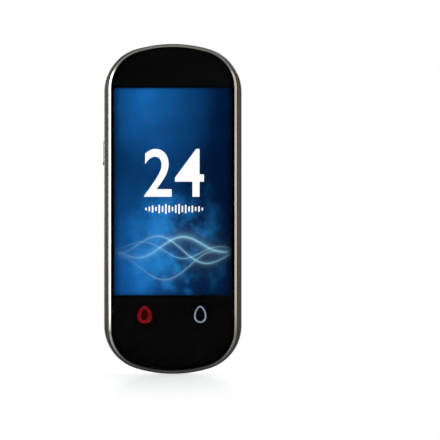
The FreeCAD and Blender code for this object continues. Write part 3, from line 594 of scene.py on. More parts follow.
@dataclass(frozen=True)
class Effect:
    """A shared effect: a shader node group with named inputs and outputs."""

    name: str
    inputs: tuple[tuple[str, str, float], ...]
    outputs: tuple[str, ...]
    lay_out: Callable[[Layout, dict, dict], None]

    def tree(self) -> bpy.types.NodeTree:
        """The group's tree, made at its first use."""
        made = bpy.data.node_groups.get(self.name)
        if made:
            return made
        made = bpy.data.node_groups.new(self.name, "ShaderNodeTree")
        for label, kind, default in self.inputs:
            socket = made.interface.new_socket(name=label, in_out="INPUT",
                                               socket_type="NodeSocket" + kind)
            if kind == "Float":
                socket.default_value = default
        for label in self.outputs:
            made.interface.new_socket(name=label, in_out="OUTPUT",
                                      socket_type="NodeSocketFloat")
        start = made.nodes.new("NodeGroupInput")
        end = made.nodes.new("NodeGroupOutput")
        self.lay_out(Layout(made), start.outputs, end.inputs)
        return made

    def use(self, sheet: Layout, **values: object) -> bpy.types.bpy_prop_collection:
        """Put the group in a tree.

        Args:
            sheet: The tree's layout.
            values: Values or sockets for its inputs, by name.

        Returns:
            Its outputs.
        """
        made = sheet.tree.nodes.new("ShaderNodeGroup")
        made.node_tree = self.tree()
        for key, value in values.items():
            sheet.feed(made.inputs[key.replace("_", " ")], value)
        return made.outputs


def lay_grain(sheet: Layout, given: dict, result: dict) -> None:
    """Fine grain of a blasted or moulded surface, with a slow drift of tone."""
    where = sheet.node("TexCoord").outputs["Object"]
    fine = sheet.noise(where, given["Scale"], 4.0, 0.62)
    slow = sheet.noise(where, 70.0, 2.0)
    sheet.feed(result["Height"], fine)
    sheet.feed(result["Tone"], sheet.math("ADD", sheet.math("MULTIPLY", fine, 0.5),
                                          sheet.math("MULTIPLY", slow, 0.5)))


def lay_wear(sheet: Layout, given: dict, result: dict) -> None:
    """Bare metal along edges, broken up by noise."""
    edge = sheet.node("NewGeometry").outputs["Pointiness"]
    where = sheet.node("TexCoord").outputs["Object"]
    broken = sheet.noise(where, 900.0, 5.0, 0.7)
    lifted = sheet.math("ADD", edge, sheet.math("MULTIPLY", sheet.math("SUBTRACT", broken, 0.5),
                                                given["Break"]))
    mask = sheet.spread(lifted, 0.53, 0.62, smoothly=True)
    sheet.feed(result["Mask"], sheet.math("MULTIPLY", mask, given["Amount"]))


def lay_marks(sheet: Layout, given: dict, result: dict) -> None:
    """Faint prints and wiping marks from handling."""
    where = sheet.place(scale=(1.0, 1.0, 0.45))
    large = sheet.noise(where, given["Scale"], 5.0, 0.6)
    patch = sheet.spread(large, 0.48, 0.7, smoothly=True)
    fine = sheet.noise(where, 1400.0, 2.0)
    sheet.feed(result["Mask"], sheet.math("MULTIPLY", patch, sheet.spread(fine, 0.2, 0.8, 0.5)))


def lay_brush(sheet: Layout, given: dict, result: dict) -> None:
    """Fine parallel lines of a brushed or polished metal."""
    where = sheet.place(scale=(1.0, 1.0, 0.02))
    lines = sheet.noise(where, given["Scale"], 3.0, 0.7)
    sheet.feed(result["Height"], lines)
    sheet.feed(result["Tone"], sheet.spread(lines, 0.3, 0.7))


def lay_dust(sheet: Layout, given: dict, result: dict) -> None:
    """A few specks of settled dust."""
    where = sheet.node("TexCoord").outputs["Object"]
    cells = sheet.node("TexVoronoi", feature="F1")
    sheet.feed(cells.inputs["Vector"], where)
    sheet.feed(cells.inputs["Scale"], given["Scale"])
    speck = sheet.spread(cells.outputs["Distance"], 0.02, 0.06, 1.0, 0.0)
    few = sheet.math("GREATER_THAN", sheet.noise(where, 140.0, 1.0), given["Threshold"])
    sheet.feed(result["Mask"], sheet.math("MULTIPLY", speck, few))


def lay_weave(sheet: Layout, given: dict, result: dict) -> None:
    """A square weave of fine threads across X and Z."""
    where = sheet.node("SeparateXYZ")
    sheet.feed(where.inputs[0], sheet.node("TexCoord").outputs["Object"])
    waves = []
    for axis in (0, 2):
        run = sheet.math("MULTIPLY", where.outputs[axis], given["Count"])
        waves.append(sheet.math("ABSOLUTE", sheet.math("SINE", run)))
    top = sheet.math("MAXIMUM", waves[0], waves[1])
    sheet.feed(result["Height"], top)
    sheet.feed(result["Mask"], sheet.spread(top, 0.55, 0.8, smoothly=True))


def lay_traces(sheet: Layout, given: dict, result: dict) -> None:
    """Copper tracks and small pads of a circuit board, seen through its lacquer."""
    where = sheet.place()
    bricks = sheet.node("TexVoronoi", feature="DISTANCE_TO_EDGE", distance="EUCLIDEAN")
    sheet.feed(bricks.inputs["Vector"], where)
    sheet.feed(bricks.inputs["Scale"], given["Scale"])
    bricks.inputs["Randomness"].default_value = 0.35
    track = sheet.spread(bricks.outputs["Distance"], 0.05, 0.09, 1.0, 0.0)
    pads = sheet.node("TexVoronoi", feature="F1", distance="CHEBYCHEV")
    sheet.feed(pads.inputs["Vector"], where)
    sheet.feed(pads.inputs["Scale"], sheet.math("MULTIPLY", given["Scale"], 1.7))
    pads.inputs["Randomness"].default_value = 0.1
    pad = sheet.spread(pads.outputs["Distance"], 0.16, 0.2, 1.0, 0.0)
    sheet.feed(result["Track"], track)
    sheet.feed(result["Pad"], pad)


def lay_glow(sheet: Layout, given: dict, result: dict) -> None:
    """A soft round glow about a place."""
    away = sheet.node("VectorMath", operation="DISTANCE")
    sheet.feed(away.inputs[0], given["Where"])
    sheet.feed(away.inputs[1], given["Centre"])
    share = sheet.math("DIVIDE", away.outputs["Value"], given["Radius"])
    fall = sheet.math("SUBTRACT", 1.0, share, clamp=True)
    sheet.feed(result["Mask"], sheet.math("POWER", fall, given["Fall"]))


def lay_strand(sheet: Layout, given: dict, result: dict) -> None:
    """A thin light line that waves across a picture, with a halo."""
    where = sheet.node("SeparateXYZ")
    sheet.feed(where.inputs[0], given["Where"])
    turn = sheet.math("ADD", sheet.math("MULTIPLY", where.outputs[0], given["Waves"]),
                      given["Phase"])
    ripple = sheet.math("MULTIPLY", sheet.math("SINE", turn), given["Swing"])
    along = sheet.math("ADD", where.outputs[0], 0.5)
    swell = sheet.math("SINE", sheet.math("MULTIPLY", along, HALF_TURN))
    line = sheet.math("ADD", given["Level"], sheet.math("MULTIPLY", ripple, swell))
    away = sheet.math("ABSOLUTE", sheet.math("SUBTRACT", where.outputs[2], line))
    core = sheet.math("DIVIDE", given["Width"], sheet.math("ADD", away, given["Width"]))
    sharp = sheet.math("POWER", core, 2.2)
    sheet.feed(result["Mask"], sheet.math("MULTIPLY", sharp, sheet.math("POWER", swell, 0.6)))


GRAIN = Effect("surface_grain", (("Scale", "Float", 3000.0),), ("Height", "Tone"), lay_grain)
WEAR = Effect("edge_wear", (("Amount", "Float", 0.5), ("Break", "Float", 0.1)), ("Mask",), lay_wear)
MARKS = Effect("handling_marks", (("Scale", "Float", 60.0),), ("Mask",), lay_marks)
BRUSH = Effect("brushed_lines", (("Scale", "Float", 4000.0),), ("Height", "Tone"), lay_brush)
DUST = Effect("dust_specks", (("Scale", "Float", 500.0), ("Threshold", "Float", 0.6)),
              ("Mask",), lay_dust)
WEAVE = Effect("thread_weave", (("Count", "Float", 9000.0),), ("Height", "Mask"), lay_weave)
TRACES = Effect("board_traces", (("Scale", "Float", 500.0),), ("Track", "Pad"), lay_traces)
GLOW = Effect("soft_glow", (("Where", "Vector", 0.0), ("Centre", "Vector", 0.0),
                            ("Radius", "Float", 1.0), ("Fall", "Float", 2.0)), ("Mask",), lay_glow)
STRAND = Effect("light_strand", (("Where", "Vector", 0.0), ("Level", "Float", 0.0),
                                 ("Swing", "Float", 0.1), ("Waves", "Float", 6.0),
                                 ("Phase", "Float", 0.0), ("Width", "Float", 0.004)),
                ("Mask",), lay_strand)


class Finish:
    """What every finish has: a name, and a material made once."""

    name: str

    def material(self) -> bpy.types.Material:
        """The finish's material, made at its first use."""
        label = f"{self.name}_finish"
        made = bpy.data.materials.get(label)
        if made:
            return made
        made = bpy.data.materials.new(label)
        made.use_nodes = True
        sheet = Layout(made.node_tree)
        shader = made.node_tree.nodes["Principled BSDF"]
        self.lay_out(sheet, shader)
        return made

    def lay_out(self, sheet: Layout, shader: bpy.types.Node) -> None:
        """Lay out the nodes that feed the Principled shader."""
        raise NotImplementedError

    def dress(self, obj: Object, slot: str = "") -> Object:
        """Put the finish on a piece.

        Args:
            obj: The piece.
            slot: The record's material slot that it stands for, if it has one; not used.

        Returns:
            The piece.
        """
        obj.data.materials.clear()
        obj.data.materials.append(self.material())
        return obj


def bump(sheet: Layout, shader: bpy.types.Node, height: object, depth: float) -> None:
    """Give a shader a bumped normal.

    Args:
        sheet: The material's layout.
        shader: Its shader.
        height: The height's socket.
        depth: The height of the bumps, in metres.
    """
    made = sheet.node("Bump")
    made.inputs["Strength"].default_value = 1.0
    made.inputs["Distance"].default_value = depth
    sheet.feed(made.inputs["Height"], height)
    sheet.feed(shader.inputs["Normal"], made.outputs[0])


@dataclass(frozen=True)
class Metal(Finish):
    """A metal surface: blasted, lacquered, brushed or polished."""

    name: str
    colour: Colour
    worn: Colour
    roughness: float = 0.35
    grain: float = 3000.0
    relief: float = 2e-6
    wear: float = 0.4
    brushed: bool = False
    coat: float = 0.0

    def lay_out(self, sheet: Layout, shader: bpy.types.Node) -> None:
        """Lay out the metal's nodes, as Finish says."""
        effect = BRUSH if self.brushed else GRAIN
        surface = effect.use(sheet, Scale=self.grain)
        wear = WEAR.use(sheet, Amount=self.wear, Break=0.12)["Mask"]
        marks = MARKS.use(sheet, Scale=55.0)["Mask"]
        shade = sheet.spread(surface["Tone"], 0.25, 0.75, 0.86, 1.12)
        base = sheet.shaded(self.ground(sheet), shade)
        sheet.feed(shader.inputs["Base Color"], sheet.mix(wear, base, self.worn))
        rough = sheet.spread(surface["Tone"], 0.2, 0.8, self.roughness * 0.85,
                             self.roughness * 1.15)
        rough = sheet.math("ADD", rough, sheet.math("MULTIPLY", marks, 0.07))
        sheet.feed(shader.inputs["Roughness"], sheet.math(
            "SUBTRACT", rough, sheet.math("MULTIPLY", wear, 0.1), clamp=True))
        shader.inputs["Metallic"].default_value = 1.0
        shader.inputs["Coat Weight"].default_value = self.coat
        shader.inputs["Coat Roughness"].default_value = 0.12
        bump(sheet, shader, surface["Height"], self.relief)

    def ground(self, sheet: Layout) -> object:
        """The metal's colour before shade and wear."""
        return self.colour


@dataclass(frozen=True)
class PaintedLightMetal(Metal):
    """A metal whose colour holds painted light: a painted pale top, painted shade at the foot, and
    painted shade on the outer slope and in the groove, by depth.
    """

    # Painted light: the pale top and dark foot colours, the heights where they blend, and the depth
    # band and kept share of the painted shade on the outer slope and groove
    top: Colour = (0.46, 0.55, 0.61)
    foot: Colour = (0.046, 0.0455, 0.046)
    levels: Point = (0.006, 0.086, 0.132)
    rim: tuple[float, float] = (0.0047, 0.00515)
    rim_shade_share: float = 0.32

    def ground(self, sheet: Layout) -> object:
        """The colour with painted light and shade by height and by depth, as Metal says."""
        axes = sheet.node("SeparateXYZ")
        sheet.feed(axes.inputs[0], sheet.place())
        low, middle, high = self.levels
        # Painted light and shade by height: dark at the foot, the lacquer's own colour in the
        # middle, pale at the top
        lower = sheet.spread(axes.outputs[2], low, middle, smoothly=True)
        upper = sheet.spread(axes.outputs[2], middle, high, smoothly=True)
        painted_light_colour = sheet.mix(upper, sheet.mix(lower, self.foot, self.colour), self.top)
        # Painted shade by depth: darker on the outer slope and in the groove near the rim
        edge = sheet.spread(axes.outputs[1], *self.rim, self.rim_shade_share, 1.0, smoothly=True)
        return sheet.shaded(painted_light_colour, edge)


@dataclass(frozen=True)
class Plastic(Finish):
    """A moulded, printed, painted or rubber surface."""

    name: str
    colour: Colour
    roughness: float = 0.45
    grain: float = 2600.0
    relief: float = 3e-6
    dusty: float = 0.3
    coat: float = 0.0

    def lay_out(self, sheet: Layout, shader: bpy.types.Node) -> None:
        """Lay out the plastic's nodes, as Finish says."""
        surface = GRAIN.use(sheet, Scale=self.grain)
        dust = DUST.use(sheet, Scale=420.0, Threshold=0.62)["Mask"]
        dust = sheet.math("MULTIPLY", dust, self.dusty)
        shade = sheet.spread(surface["Tone"], 0.25, 0.75, 0.88, 1.1)
        base = sheet.shaded(self.colour, shade)
        sheet.feed(shader.inputs["Base Color"], sheet.mix(dust, base, (0.45, 0.44, 0.42)))
        sheet.feed(shader.inputs["Roughness"], sheet.spread(
            surface["Tone"], 0.2, 0.8, self.roughness * 0.88, min(1.0, self.roughness * 1.15)))
        shader.inputs["Coat Weight"].default_value = self.coat
        bump(sheet, shader, surface["Height"], self.relief)


@dataclass(frozen=True)
class Board(Finish):
    """A lacquered circuit board with tracks and pads."""

    name: str
    lacquer: Colour = (0.006, 0.06, 0.022)
    copper: Colour = (0.02, 0.14, 0.05)
    pads: Colour = (0.7, 0.55, 0.25)

    def lay_out(self, sheet: Layout, shader: bpy.types.Node) -> None:
        """Lay out the board's nodes, as Finish says."""
        lines = TRACES.use(sheet, Scale=420.0)
        surface = GRAIN.use(sheet, Scale=2500.0)
        base = sheet.mix(lines["Track"], self.lacquer, self.copper)
        sheet.feed(shader.inputs["Base Color"], sheet.mix(lines["Pad"], base, self.pads))
        sheet.feed(shader.inputs["Metallic"], sheet.math("MULTIPLY", lines["Pad"], 0.9))
        sheet.feed(shader.inputs["Roughness"], sheet.spread(surface["Tone"], 0.2, 0.8, 0.25, 0.4))
        bump(sheet, shader, lines["Track"], 8e-6)


@dataclass(frozen=True)
class Mesh(Finish):
    """A woven screen or an open foam."""

    name: str
    thread: Colour = (0.008, 0.008, 0.009)
    gap: Colour = (0.001, 0.001, 0.001)
    count: float = 12000.0

    def lay_out(self, sheet: Layout, shader: bpy.types.Node) -> None:
        """Lay out the weave's nodes, as Finish says."""
        weave = WEAVE.use(sheet, Count=self.count)
        sheet.feed(shader.inputs["Base Color"], sheet.mix(weave["Mask"], self.gap, self.thread))
        sheet.feed(shader.inputs["Roughness"], sheet.spread(weave["Mask"], 0.0, 1.0, 0.9, 0.5))
        shader.inputs["Specular IOR Level"].default_value = 0.08
        bump(sheet, shader, weave["Height"], 2.5e-5)


@dataclass(frozen=True)
class Glass(Finish):
    """A clear or tinted glass with faint prints on it."""

    name: str
    tint: Colour = (0.985, 0.99, 0.99)
    index: float = 1.05
    roughness: float = 0.008
    smudge: float = 0.02

    def lay_out(self, sheet: Layout, shader: bpy.types.Node) -> None:
        """Lay out the glass's nodes, as Finish says."""
        marks = MARKS.use(sheet, Scale=48.0)["Mask"]
        dust = DUST.use(sheet, Scale=260.0, Threshold=0.66)["Mask"]
        sheet.feed(shader.inputs["Base Color"], sheet.mix(
            sheet.math("MULTIPLY", dust, 0.1), self.tint, (0.8, 0.8, 0.8)))
        sheet.feed(shader.inputs["Roughness"], sheet.spread(
            marks, 0.0, 1.0, self.roughness, self.roughness + self.smudge))
        shader.inputs["Metallic"].default_value = 0.0
        shader.inputs["Transmission Weight"].default_value = 1.0
        shader.inputs["IOR"].default_value = self.index


@dataclass(frozen=True)
class Light(Finish):
    """A lit sign: an icon or a glyph that glows evenly with a soft grain."""

    name: str
    colour: Colour
    strength: float = 1.0
    centre: Point = (0.0, 0.0, 0.0)
    reach: float = 0.0

    def lay_out(self, sheet: Layout, shader: bpy.types.Node) -> None:
        """Lay out the lit surface's nodes, as Finish says."""
        surface = GRAIN.use(sheet, Scale=1800.0)
        shade = sheet.spread(surface["Tone"], 0.2, 0.8, 0.9, 1.06)
        glow = sheet.shaded(self.colour, shade)
        if self.reach > 0:
            where = sheet.node("TexCoord").outputs["Object"]
            near = GLOW.use(sheet, Where=where, Centre=self.centre, Radius=self.reach, Fall=0.7)
            dark = sheet.spread(near["Mask"], 0.1, 0.75, 0.55, 1.0)
            glow = sheet.shaded(glow, dark)
        shader.inputs["Base Color"].default_value = (*[c * 0.05 for c in self.colour], 1.0)
        shader.inputs["Roughness"].default_value = 0.5
        shader.inputs["Specular IOR Level"].default_value = 0.0
        sheet.feed(shader.inputs["Emission Color"], glow)
        shader.inputs["Emission Strength"].default_value = self.strength


@dataclass(frozen=True)
class MaskInk(Finish):
    """Black ink behind the glass, with the red icon's light bleeding into it."""

    name: str = "mask_ink"
    colour: Colour = (0.0008, 0.0008, 0.001)
    bleed: Colour = (0.045, 0.0008, 0.001)
    centre: Point = metres((-11.6, -5.5, 24.7))
    reach: float = 5.4 * MM

    def lay_out(self, sheet: Layout, shader: bpy.types.Node) -> None:
        """Lay out the ink's nodes, as Finish says."""
        surface = GRAIN.use(sheet, Scale=2400.0)
        sheet.feed(shader.inputs["Base Color"], sheet.mix(
            surface["Tone"], self.colour, [c * 1.6 for c in self.colour]))
        sheet.feed(shader.inputs["Roughness"], sheet.spread(surface["Tone"], 0.2, 0.8, 0.5, 0.6))
        where = sheet.node("TexCoord").outputs["Object"]
        near = GLOW.use(sheet, Where=where, Centre=self.centre, Radius=self.reach, Fall=2.4)
        sheet.feed(shader.inputs["Emission Color"], sheet.mix(
            near["Mask"], (0.0, 0.0, 0.0), self.bleed))
        shader.inputs["Emission Strength"].default_value = 1.0
        shader.inputs["Specular IOR Level"].default_value = 0.0


@dataclass(frozen=True)
class Wallpaper(Finish):
    """The lit screen: a night-blue ground with soft glows and waving light strands."""

    name: str = "screen_wallpaper"
    low: Point = metres((-24.5, -5.42, 32.9))
    high: Point = metres((24.5, -5.42, 119.4))
    night: Colour = (0.0002, 0.0075, 0.036)
    deep: Colour = (0.0012, 0.030, 0.120)
    bright: Colour = (0.007, 0.125, 0.42)
    glare: Colour = (0.022, 0.30, 0.80)
    strand: Colour = (0.36, 0.76, 1.0)
    # Each glow as its place across and up, radius, fall and force
    glows: tuple[tuple[float, ...], ...] = ((-0.20, 0.50, 0.60, 1.3, 1.0),
                                            (-0.30, -0.38, 0.62, 1.5, 0.60))
    cloud: tuple[float, ...] = (0.02, -0.30, 0.46, 0.9, 0.85)
    # Each strand as its level, swing, waves, phase, thickness and force
    strands: tuple[tuple[float, ...], ...] = (
        (-0.285, 0.070, 6.2, 0.9, 0.0100, 1.00), (-0.300, 0.095, 5.4, 2.5, 0.0060, 0.85),
        (-0.275, 0.050, 7.6, 3.9, 0.0036, 0.60), (-0.310, 0.120, 4.4, 5.2, 0.0060, 0.50))

    def lay_out(self, sheet: Layout, shader: bpy.types.Node) -> None:
        """Lay out the picture's nodes, as Finish says."""
        width, height = self.high[0] - self.low[0], self.high[2] - self.low[2]
        centre = (0.0, self.low[1], (self.low[2] + self.high[2]) / 2)
        where = sheet.place(centre, (1 / width, 0.0, 1 / height))
        axes = sheet.node("SeparateXYZ")
        sheet.feed(axes.inputs[0], where)
        across, up = axes.outputs[0], axes.outputs[2]

        def glow(x: float, z: float, radius: float, fall: float, force: float) -> Socket:
            """One soft glow at a place of the picture."""
            mask = GLOW.use(sheet, Where=where, Centre=(x, 0.0, z), Radius=radius, Fall=fall)
            return sheet.math("MULTIPLY", mask["Mask"], force)

        ground = sheet.mix(sheet.spread(across, -0.30, 0.5, smoothly=True), self.deep, self.night)
        for spot in self.glows:
            ground = sheet.mix(glow(*spot), ground, self.bright)
        even = sheet.place(centre, (1 / width, 0.0, 1 / width))
        veil = sheet.noise(even, 1.3, 5.0, 0.55)
        ground = sheet.shaded(ground, sheet.spread(veil, 0.32, 0.68, 0.50, 1.35))
        puff = sheet.spread(sheet.noise(even, 2.6, 6.0, 0.6), 0.44, 0.66, smoothly=True)
        ground = sheet.mix(sheet.math("MULTIPLY", puff, glow(*self.cloud)), ground, self.glare)
        total = 0.0
        for level, swing, waves, phase, thick, force in self.strands:
            mask = STRAND.use(sheet, Where=where, Level=level, Swing=swing, Waves=waves,
                              Phase=phase, Width=thick)["Mask"]
            total = sheet.math("ADD", sheet.math("MULTIPLY", mask, force), total)
        fade = sheet.spread(across, -0.5, 0.30, 0.30, 1.0, smoothly=True)
        total = sheet.math("MULTIPLY", total, fade, clamp=True)
        picture = sheet.mix(total, ground, self.strand)
        edge_x = sheet.spread(sheet.math("ABSOLUTE", across), 0.44, 0.5, 1.0, 0.45, smoothly=True)
        edge_z = sheet.spread(sheet.math("ABSOLUTE", up), 0.485, 0.5, 1.0, 0.6, smoothly=True)
        picture = sheet.shaded(picture, sheet.math("MULTIPLY", edge_x, edge_z))
        shader.inputs["Base Color"].default_value = (0.0, 0.0, 0.0, 1.0)
        shader.inputs["Roughness"].default_value = 0.6
        shader.inputs["Specular IOR Level"].default_value = 0.0
        sheet.feed(shader.inputs["Emission Color"], picture)
        shader.inputs["Emission Strength"].default_value = 1.0


@dataclass(frozen=True)
class LensCoating(Finish):
    """A coated lens: concentric blue bands that get paler towards the middle as painted glare, with
    a painted glint band across it when its strength is above zero.
    """

    name: str
    centre: Point
    bands: tuple[tuple[float, Colour], ...]
    reach: float
    metallic: float = 0.75
    # The painted glint: colour and strength of a pale band across the lens that stands for a
    # reflected highlight
    painted_glint: Colour = (0.82, 0.97, 1.0)
    painted_glint_force: float = 0.0

    def lay_out(self, sheet: Layout, shader: bpy.types.Node) -> None:
        """Lay out the coating's nodes, as Finish says."""
        where = sheet.place(self.centre, (1.0 / self.reach, 0.0, 1.0 / self.reach))
        away = sheet.node("VectorMath", operation="LENGTH")
        sheet.feed(away.inputs[0], where)
        ramp = sheet.node("ValToRGB")
        stops = ramp.color_ramp.elements
        while len(stops) < len(self.bands):
            stops.new(0.5)
        for stop, (place, colour) in zip(stops, self.bands):
            stop.position = place
            stop.color = (*colour, 1.0)
        sheet.feed(ramp.inputs[0], away.outputs["Value"])
        surface = GRAIN.use(sheet, Scale=900.0)
        axes = sheet.node("SeparateXYZ")
        sheet.feed(axes.inputs[0], where)
        # Painted highlight: a pale horizontal band across the middle of the lens, mixed into the
        # base colour
        across = sheet.spread(sheet.math("ABSOLUTE", axes.outputs[0]), 0.55, 1.0, 1.0, 0.35,
                              smoothly=True)
        band = sheet.spread(sheet.math("ABSOLUTE", axes.outputs[2]), 0.10, 0.34, 1.0, 0.0,
                            smoothly=True)
        painted_glint = sheet.math("MULTIPLY", sheet.math("MULTIPLY", band, across), self.painted_glint_force)
        sheet.feed(shader.inputs["Base Color"], sheet.mix(painted_glint, ramp.outputs[0], self.painted_glint))
        sheet.feed(shader.inputs["Roughness"], sheet.spread(surface["Tone"], 0.2, 0.8, 0.06, 0.14))
        shader.inputs["Metallic"].default_value = self.metallic
        shader.inputs["Coat Weight"].default_value = 1.0
        shader.inputs["Coat Roughness"].default_value = 0.02


def pale_rays(sheet: Layout) -> Socket:
    """One for the rays that see the pale background as it is.

    Args:
        sheet: The layout of the floor's material or the surroundings.

    Returns:
        One for camera, glossy and transmission rays, and zero for others.
    """
    rays = sheet.node("LightPath").outputs
    mirrored = sheet.math("MAXIMUM", rays["Is Glossy Ray"], rays["Is Transmission Ray"])
    return sheet.math("MAXIMUM", rays["Is Camera Ray"], mirrored)


@dataclass(frozen=True)
class StageFinish(Finish):
    """The pale floor: nearly white, with a faint soft reflection of what stands on it."""

    name: str = "pale_floor"
    colour: Colour = (0.80, 0.80, 0.80)
    lift: float = 0.62
    fade_start: float = 0.03
    fade_end: float = 0.26

    def lay_out(self, sheet: Layout, shader: bpy.types.Node) -> None:
        """Lay out the floor's nodes, as Finish says."""
        where = sheet.node("TexCoord").outputs["Object"]
        tone = sheet.noise(where, 12.0, 2.0)
        sheet.feed(shader.inputs["Roughness"], sheet.spread(tone, 0.3, 0.7, 0.15, 0.19))
        shader.inputs["Base Color"].default_value = (*self.colour, 1.0)
        shader.inputs["Specular IOR Level"].default_value = 0.25
        away = sheet.node("VectorMath", operation="LENGTH")
        sheet.feed(away.inputs[0], where)
        far = sheet.spread(away.outputs["Value"], self.fade_start, self.fade_end,
                           self.lift, 1.0, smoothly=True)
        lit = sheet.node("Emission")
        lit.inputs["Strength"].default_value = 1.0
        share = sheet.math("MULTIPLY", pale_rays(sheet), far)
        sheet.feed(sheet.tree.nodes["Material Output"].inputs["Surface"],
                   sheet.both(share, shader.outputs[0], lit.outputs[0]))


# Painted light: the back cover's pale top, dark foot and darker outer slope and groove are painted
# into this lacquer's colour
GUNMETAL = PaintedLightMetal("gunmetal_painted_light", (0.150, 0.152, 0.157), (0.22, 0.22, 0.23), 0.30,
                       2600.0, 0.8e-6, 0.2, coat=0.1)
FRAME_DARK = Metal("frame_anodised", (0.030, 0.029, 0.028), (0.10, 0.098, 0.094), 0.22, 3200.0,
                   0.5e-6, 0.3)
# Painted shade: the polished ring's colour darkens towards its foot
POLISHED = PaintedLightMetal("ring_polished", (0.185, 0.172, 0.150), (0.30, 0.28, 0.25), 0.11,
                       5000.0, 0.1e-6, 0.1, top=(0.185, 0.172, 0.150),
                       foot=(0.055, 0.050, 0.048), levels=(0.0, 0.024, 0.128), rim_shade_share=1.0)
LENS_TRIM = Metal("lens_trim_polished", (0.48, 0.56, 0.62), (0.8, 0.82, 0.84), 0.10, 5000.0,
                  0.3e-6, 0.1)
KEY_METAL = Metal("key_anodised", (0.045, 0.044, 0.042), (0.16, 0.155, 0.15), 0.22, 3400.0,
                  0.5e-6, 0.4)
BARE_STEEL = Metal("chassis_steel", (0.42, 0.42, 0.43), (0.7, 0.7, 0.7), 0.35, 2500.0,
                   2e-6, 0.4, brushed=True)
SCREW_STEEL = Metal("screw_steel", (0.30, 0.30, 0.31), (0.65, 0.65, 0.66), 0.3)
CAN_TIN = Metal("can_tin", (0.58, 0.58, 0.57), (0.8, 0.8, 0.8), 0.38, 1800.0, 4e-6)
COPPER = Metal("copper", (0.72, 0.36, 0.20), (0.9, 0.55, 0.36), 0.3, 2500.0, 2e-6, brushed=True)
MAGNET = Metal("magnet_nickel", (0.52, 0.51, 0.48), (0.75, 0.74, 0.7), 0.25)
SOCKET_STEEL = Metal("socket_steel", (0.50, 0.50, 0.51), (0.78, 0.78, 0.78), 0.25, brushed=True)
CLEAR_GLASS = Glass("front_glass_clear")
CAMERA_GLASS = Glass("camera_glass_clear", (0.86, 0.94, 1.0), 1.35, 0.004, 0.01)
LAMP_LENS = Plastic("lamp_diffuser", (0.36, 0.38, 0.39), 0.25, 1500.0, 2e-6, 0.0, 0.3)
DIFFUSER = Plastic("diffuser_white", (0.72, 0.73, 0.74), 0.4)
FLEX = Plastic("flex_amber", (0.30, 0.12, 0.02), 0.3, coat=0.4)
CHIP = Plastic("chip_black", (0.018, 0.018, 0.02), 0.55, 4000.0)
WRAP = Plastic("battery_wrap", (0.028, 0.03, 0.034), 0.35, 900.0, 6e-6)
FOAM = Mesh("foam_black", (0.03, 0.03, 0.03), (0.006, 0.006, 0.006), 5000.0)
SCREEN_MESH = Mesh("speaker_screen")
TAPE = Plastic("tape_clear", (0.55, 0.56, 0.56), 0.3)
CONE = Plastic("cone_film", (0.04, 0.035, 0.03), 0.4)
CAMERA_BLACK = Plastic("camera_black", (0.010, 0.010, 0.012), 0.4)
LAMP_YELLOW = Plastic("lamp_phosphor", (0.75, 0.62, 0.10), 0.45)
CIRCUIT = Board("board_green")
INK = MaskInk()
RED_LIGHT = Light("icon_red_light", (0.19, 0.0035, 0.005), 1.0,
                  metres((-11.75, -5.46, 23.4)), 9.0 * MM)
WHITE_LIGHT = Light("icon_white_light", (0.30, 0.37, 0.48))
GLYPH_LIGHT = Light("glyph_white_light", (0.97, 0.98, 1.0))

PALE_BLUE, MID_BLUE, DARK_BLUE = (0.32, 0.72, 0.90), (0.03, 0.20, 0.42), (0.004, 0.035, 0.12)
OPTIC_COATING = LensCoating("optic_coating", metres(LENS_AXIS), (
    (0.0, PALE_BLUE), (0.28, MID_BLUE), (0.60, DARK_BLUE), (0.70, DARK_BLUE), (0.74, PALE_BLUE),
    (0.80, PALE_BLUE), (0.84, DARK_BLUE), (1.0, (0.008, 0.06, 0.20))), 3.3 * MM,
    painted_glint_force=0.9)
BARREL_COATING = LensCoating("barrel_lens_coating", metres(LENS_AXIS), (
    (0.0, (0.05, 0.22, 0.38)), (0.5, (0.01, 0.05, 0.14)), (1.0, (0.03, 0.02, 0.10))), 2.2 * MM)

# The nodes whose finish isn't that of their material slot
NODE_FINISHES: dict[str, Finish] = {
    "battery_connector": CHIP, "board_connectors": CHIP, "speaker_basket": CHIP,
    "camera_sensor": CIRCUIT, "speaker_yoke": BARE_STEEL, "key_dome": BARE_STEEL,
}
SLOT_FINISHES: dict[str, Finish] = {
    "clear_glass": CLEAR_GLASS, "camera_glass": CAMERA_GLASS, "mask_black": INK,
    "display": DIFFUSER, "diffuser": DIFFUSER, "icon_red": RED_LIGHT,
    "icon_white": WHITE_LIGHT, "ring_polished": POLISHED, "frame_dark": FRAME_DARK,
    "cover_gunmetal": GUNMETAL, "chassis_steel": BARE_STEEL, "board_green": CIRCUIT,
    "flex_amber": FLEX, "can_tin": CAN_TIN, "chip_black": CHIP, "battery_wrap": WRAP,
    "foam_black": FOAM, "tape_clear": TAPE, "magnet": MAGNET, "copper": COPPER,
    "cone_film": CONE, "mesh_black": SCREEN_MESH, "screw_steel": SCREW_STEEL,
    "key_metal": KEY_METAL, "socket_steel": SOCKET_STEEL, "camera_black": CAMERA_BLACK,
    "lamp_yellow": LAMP_YELLOW,
}


def report(obj: Object, body: Body) -> Object:
    """Make a piece ride on its body and tell about it.

    Args:
        obj: The finished piece.
        body: The body that it moves with.

    Returns:
        The piece.
    """
    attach(obj, body.value)
    LOG.info("%s rides on %s, %d faces", obj.name, body.value, len(obj.data.polygons))
    return obj


@dataclass
class InnerParts:
    """The nodes that stay as they are packed, each with its finish."""

    def build(self) -> None:
        """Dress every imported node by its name, or else by its material slot."""
        slots = {part["node"]: part.get("material_slot")
                 for part in frame["record"].get("subparts", [])}
        for name, obj in frame["nodes"].items():
            finish = NODE_FINISHES.get(name) or SLOT_FINISHES[slots[name]]
            obj.data.materials.clear()
            obj.data.materials.append(finish.material())
            LOG.info("%s dressed as %s", name, finish.name)


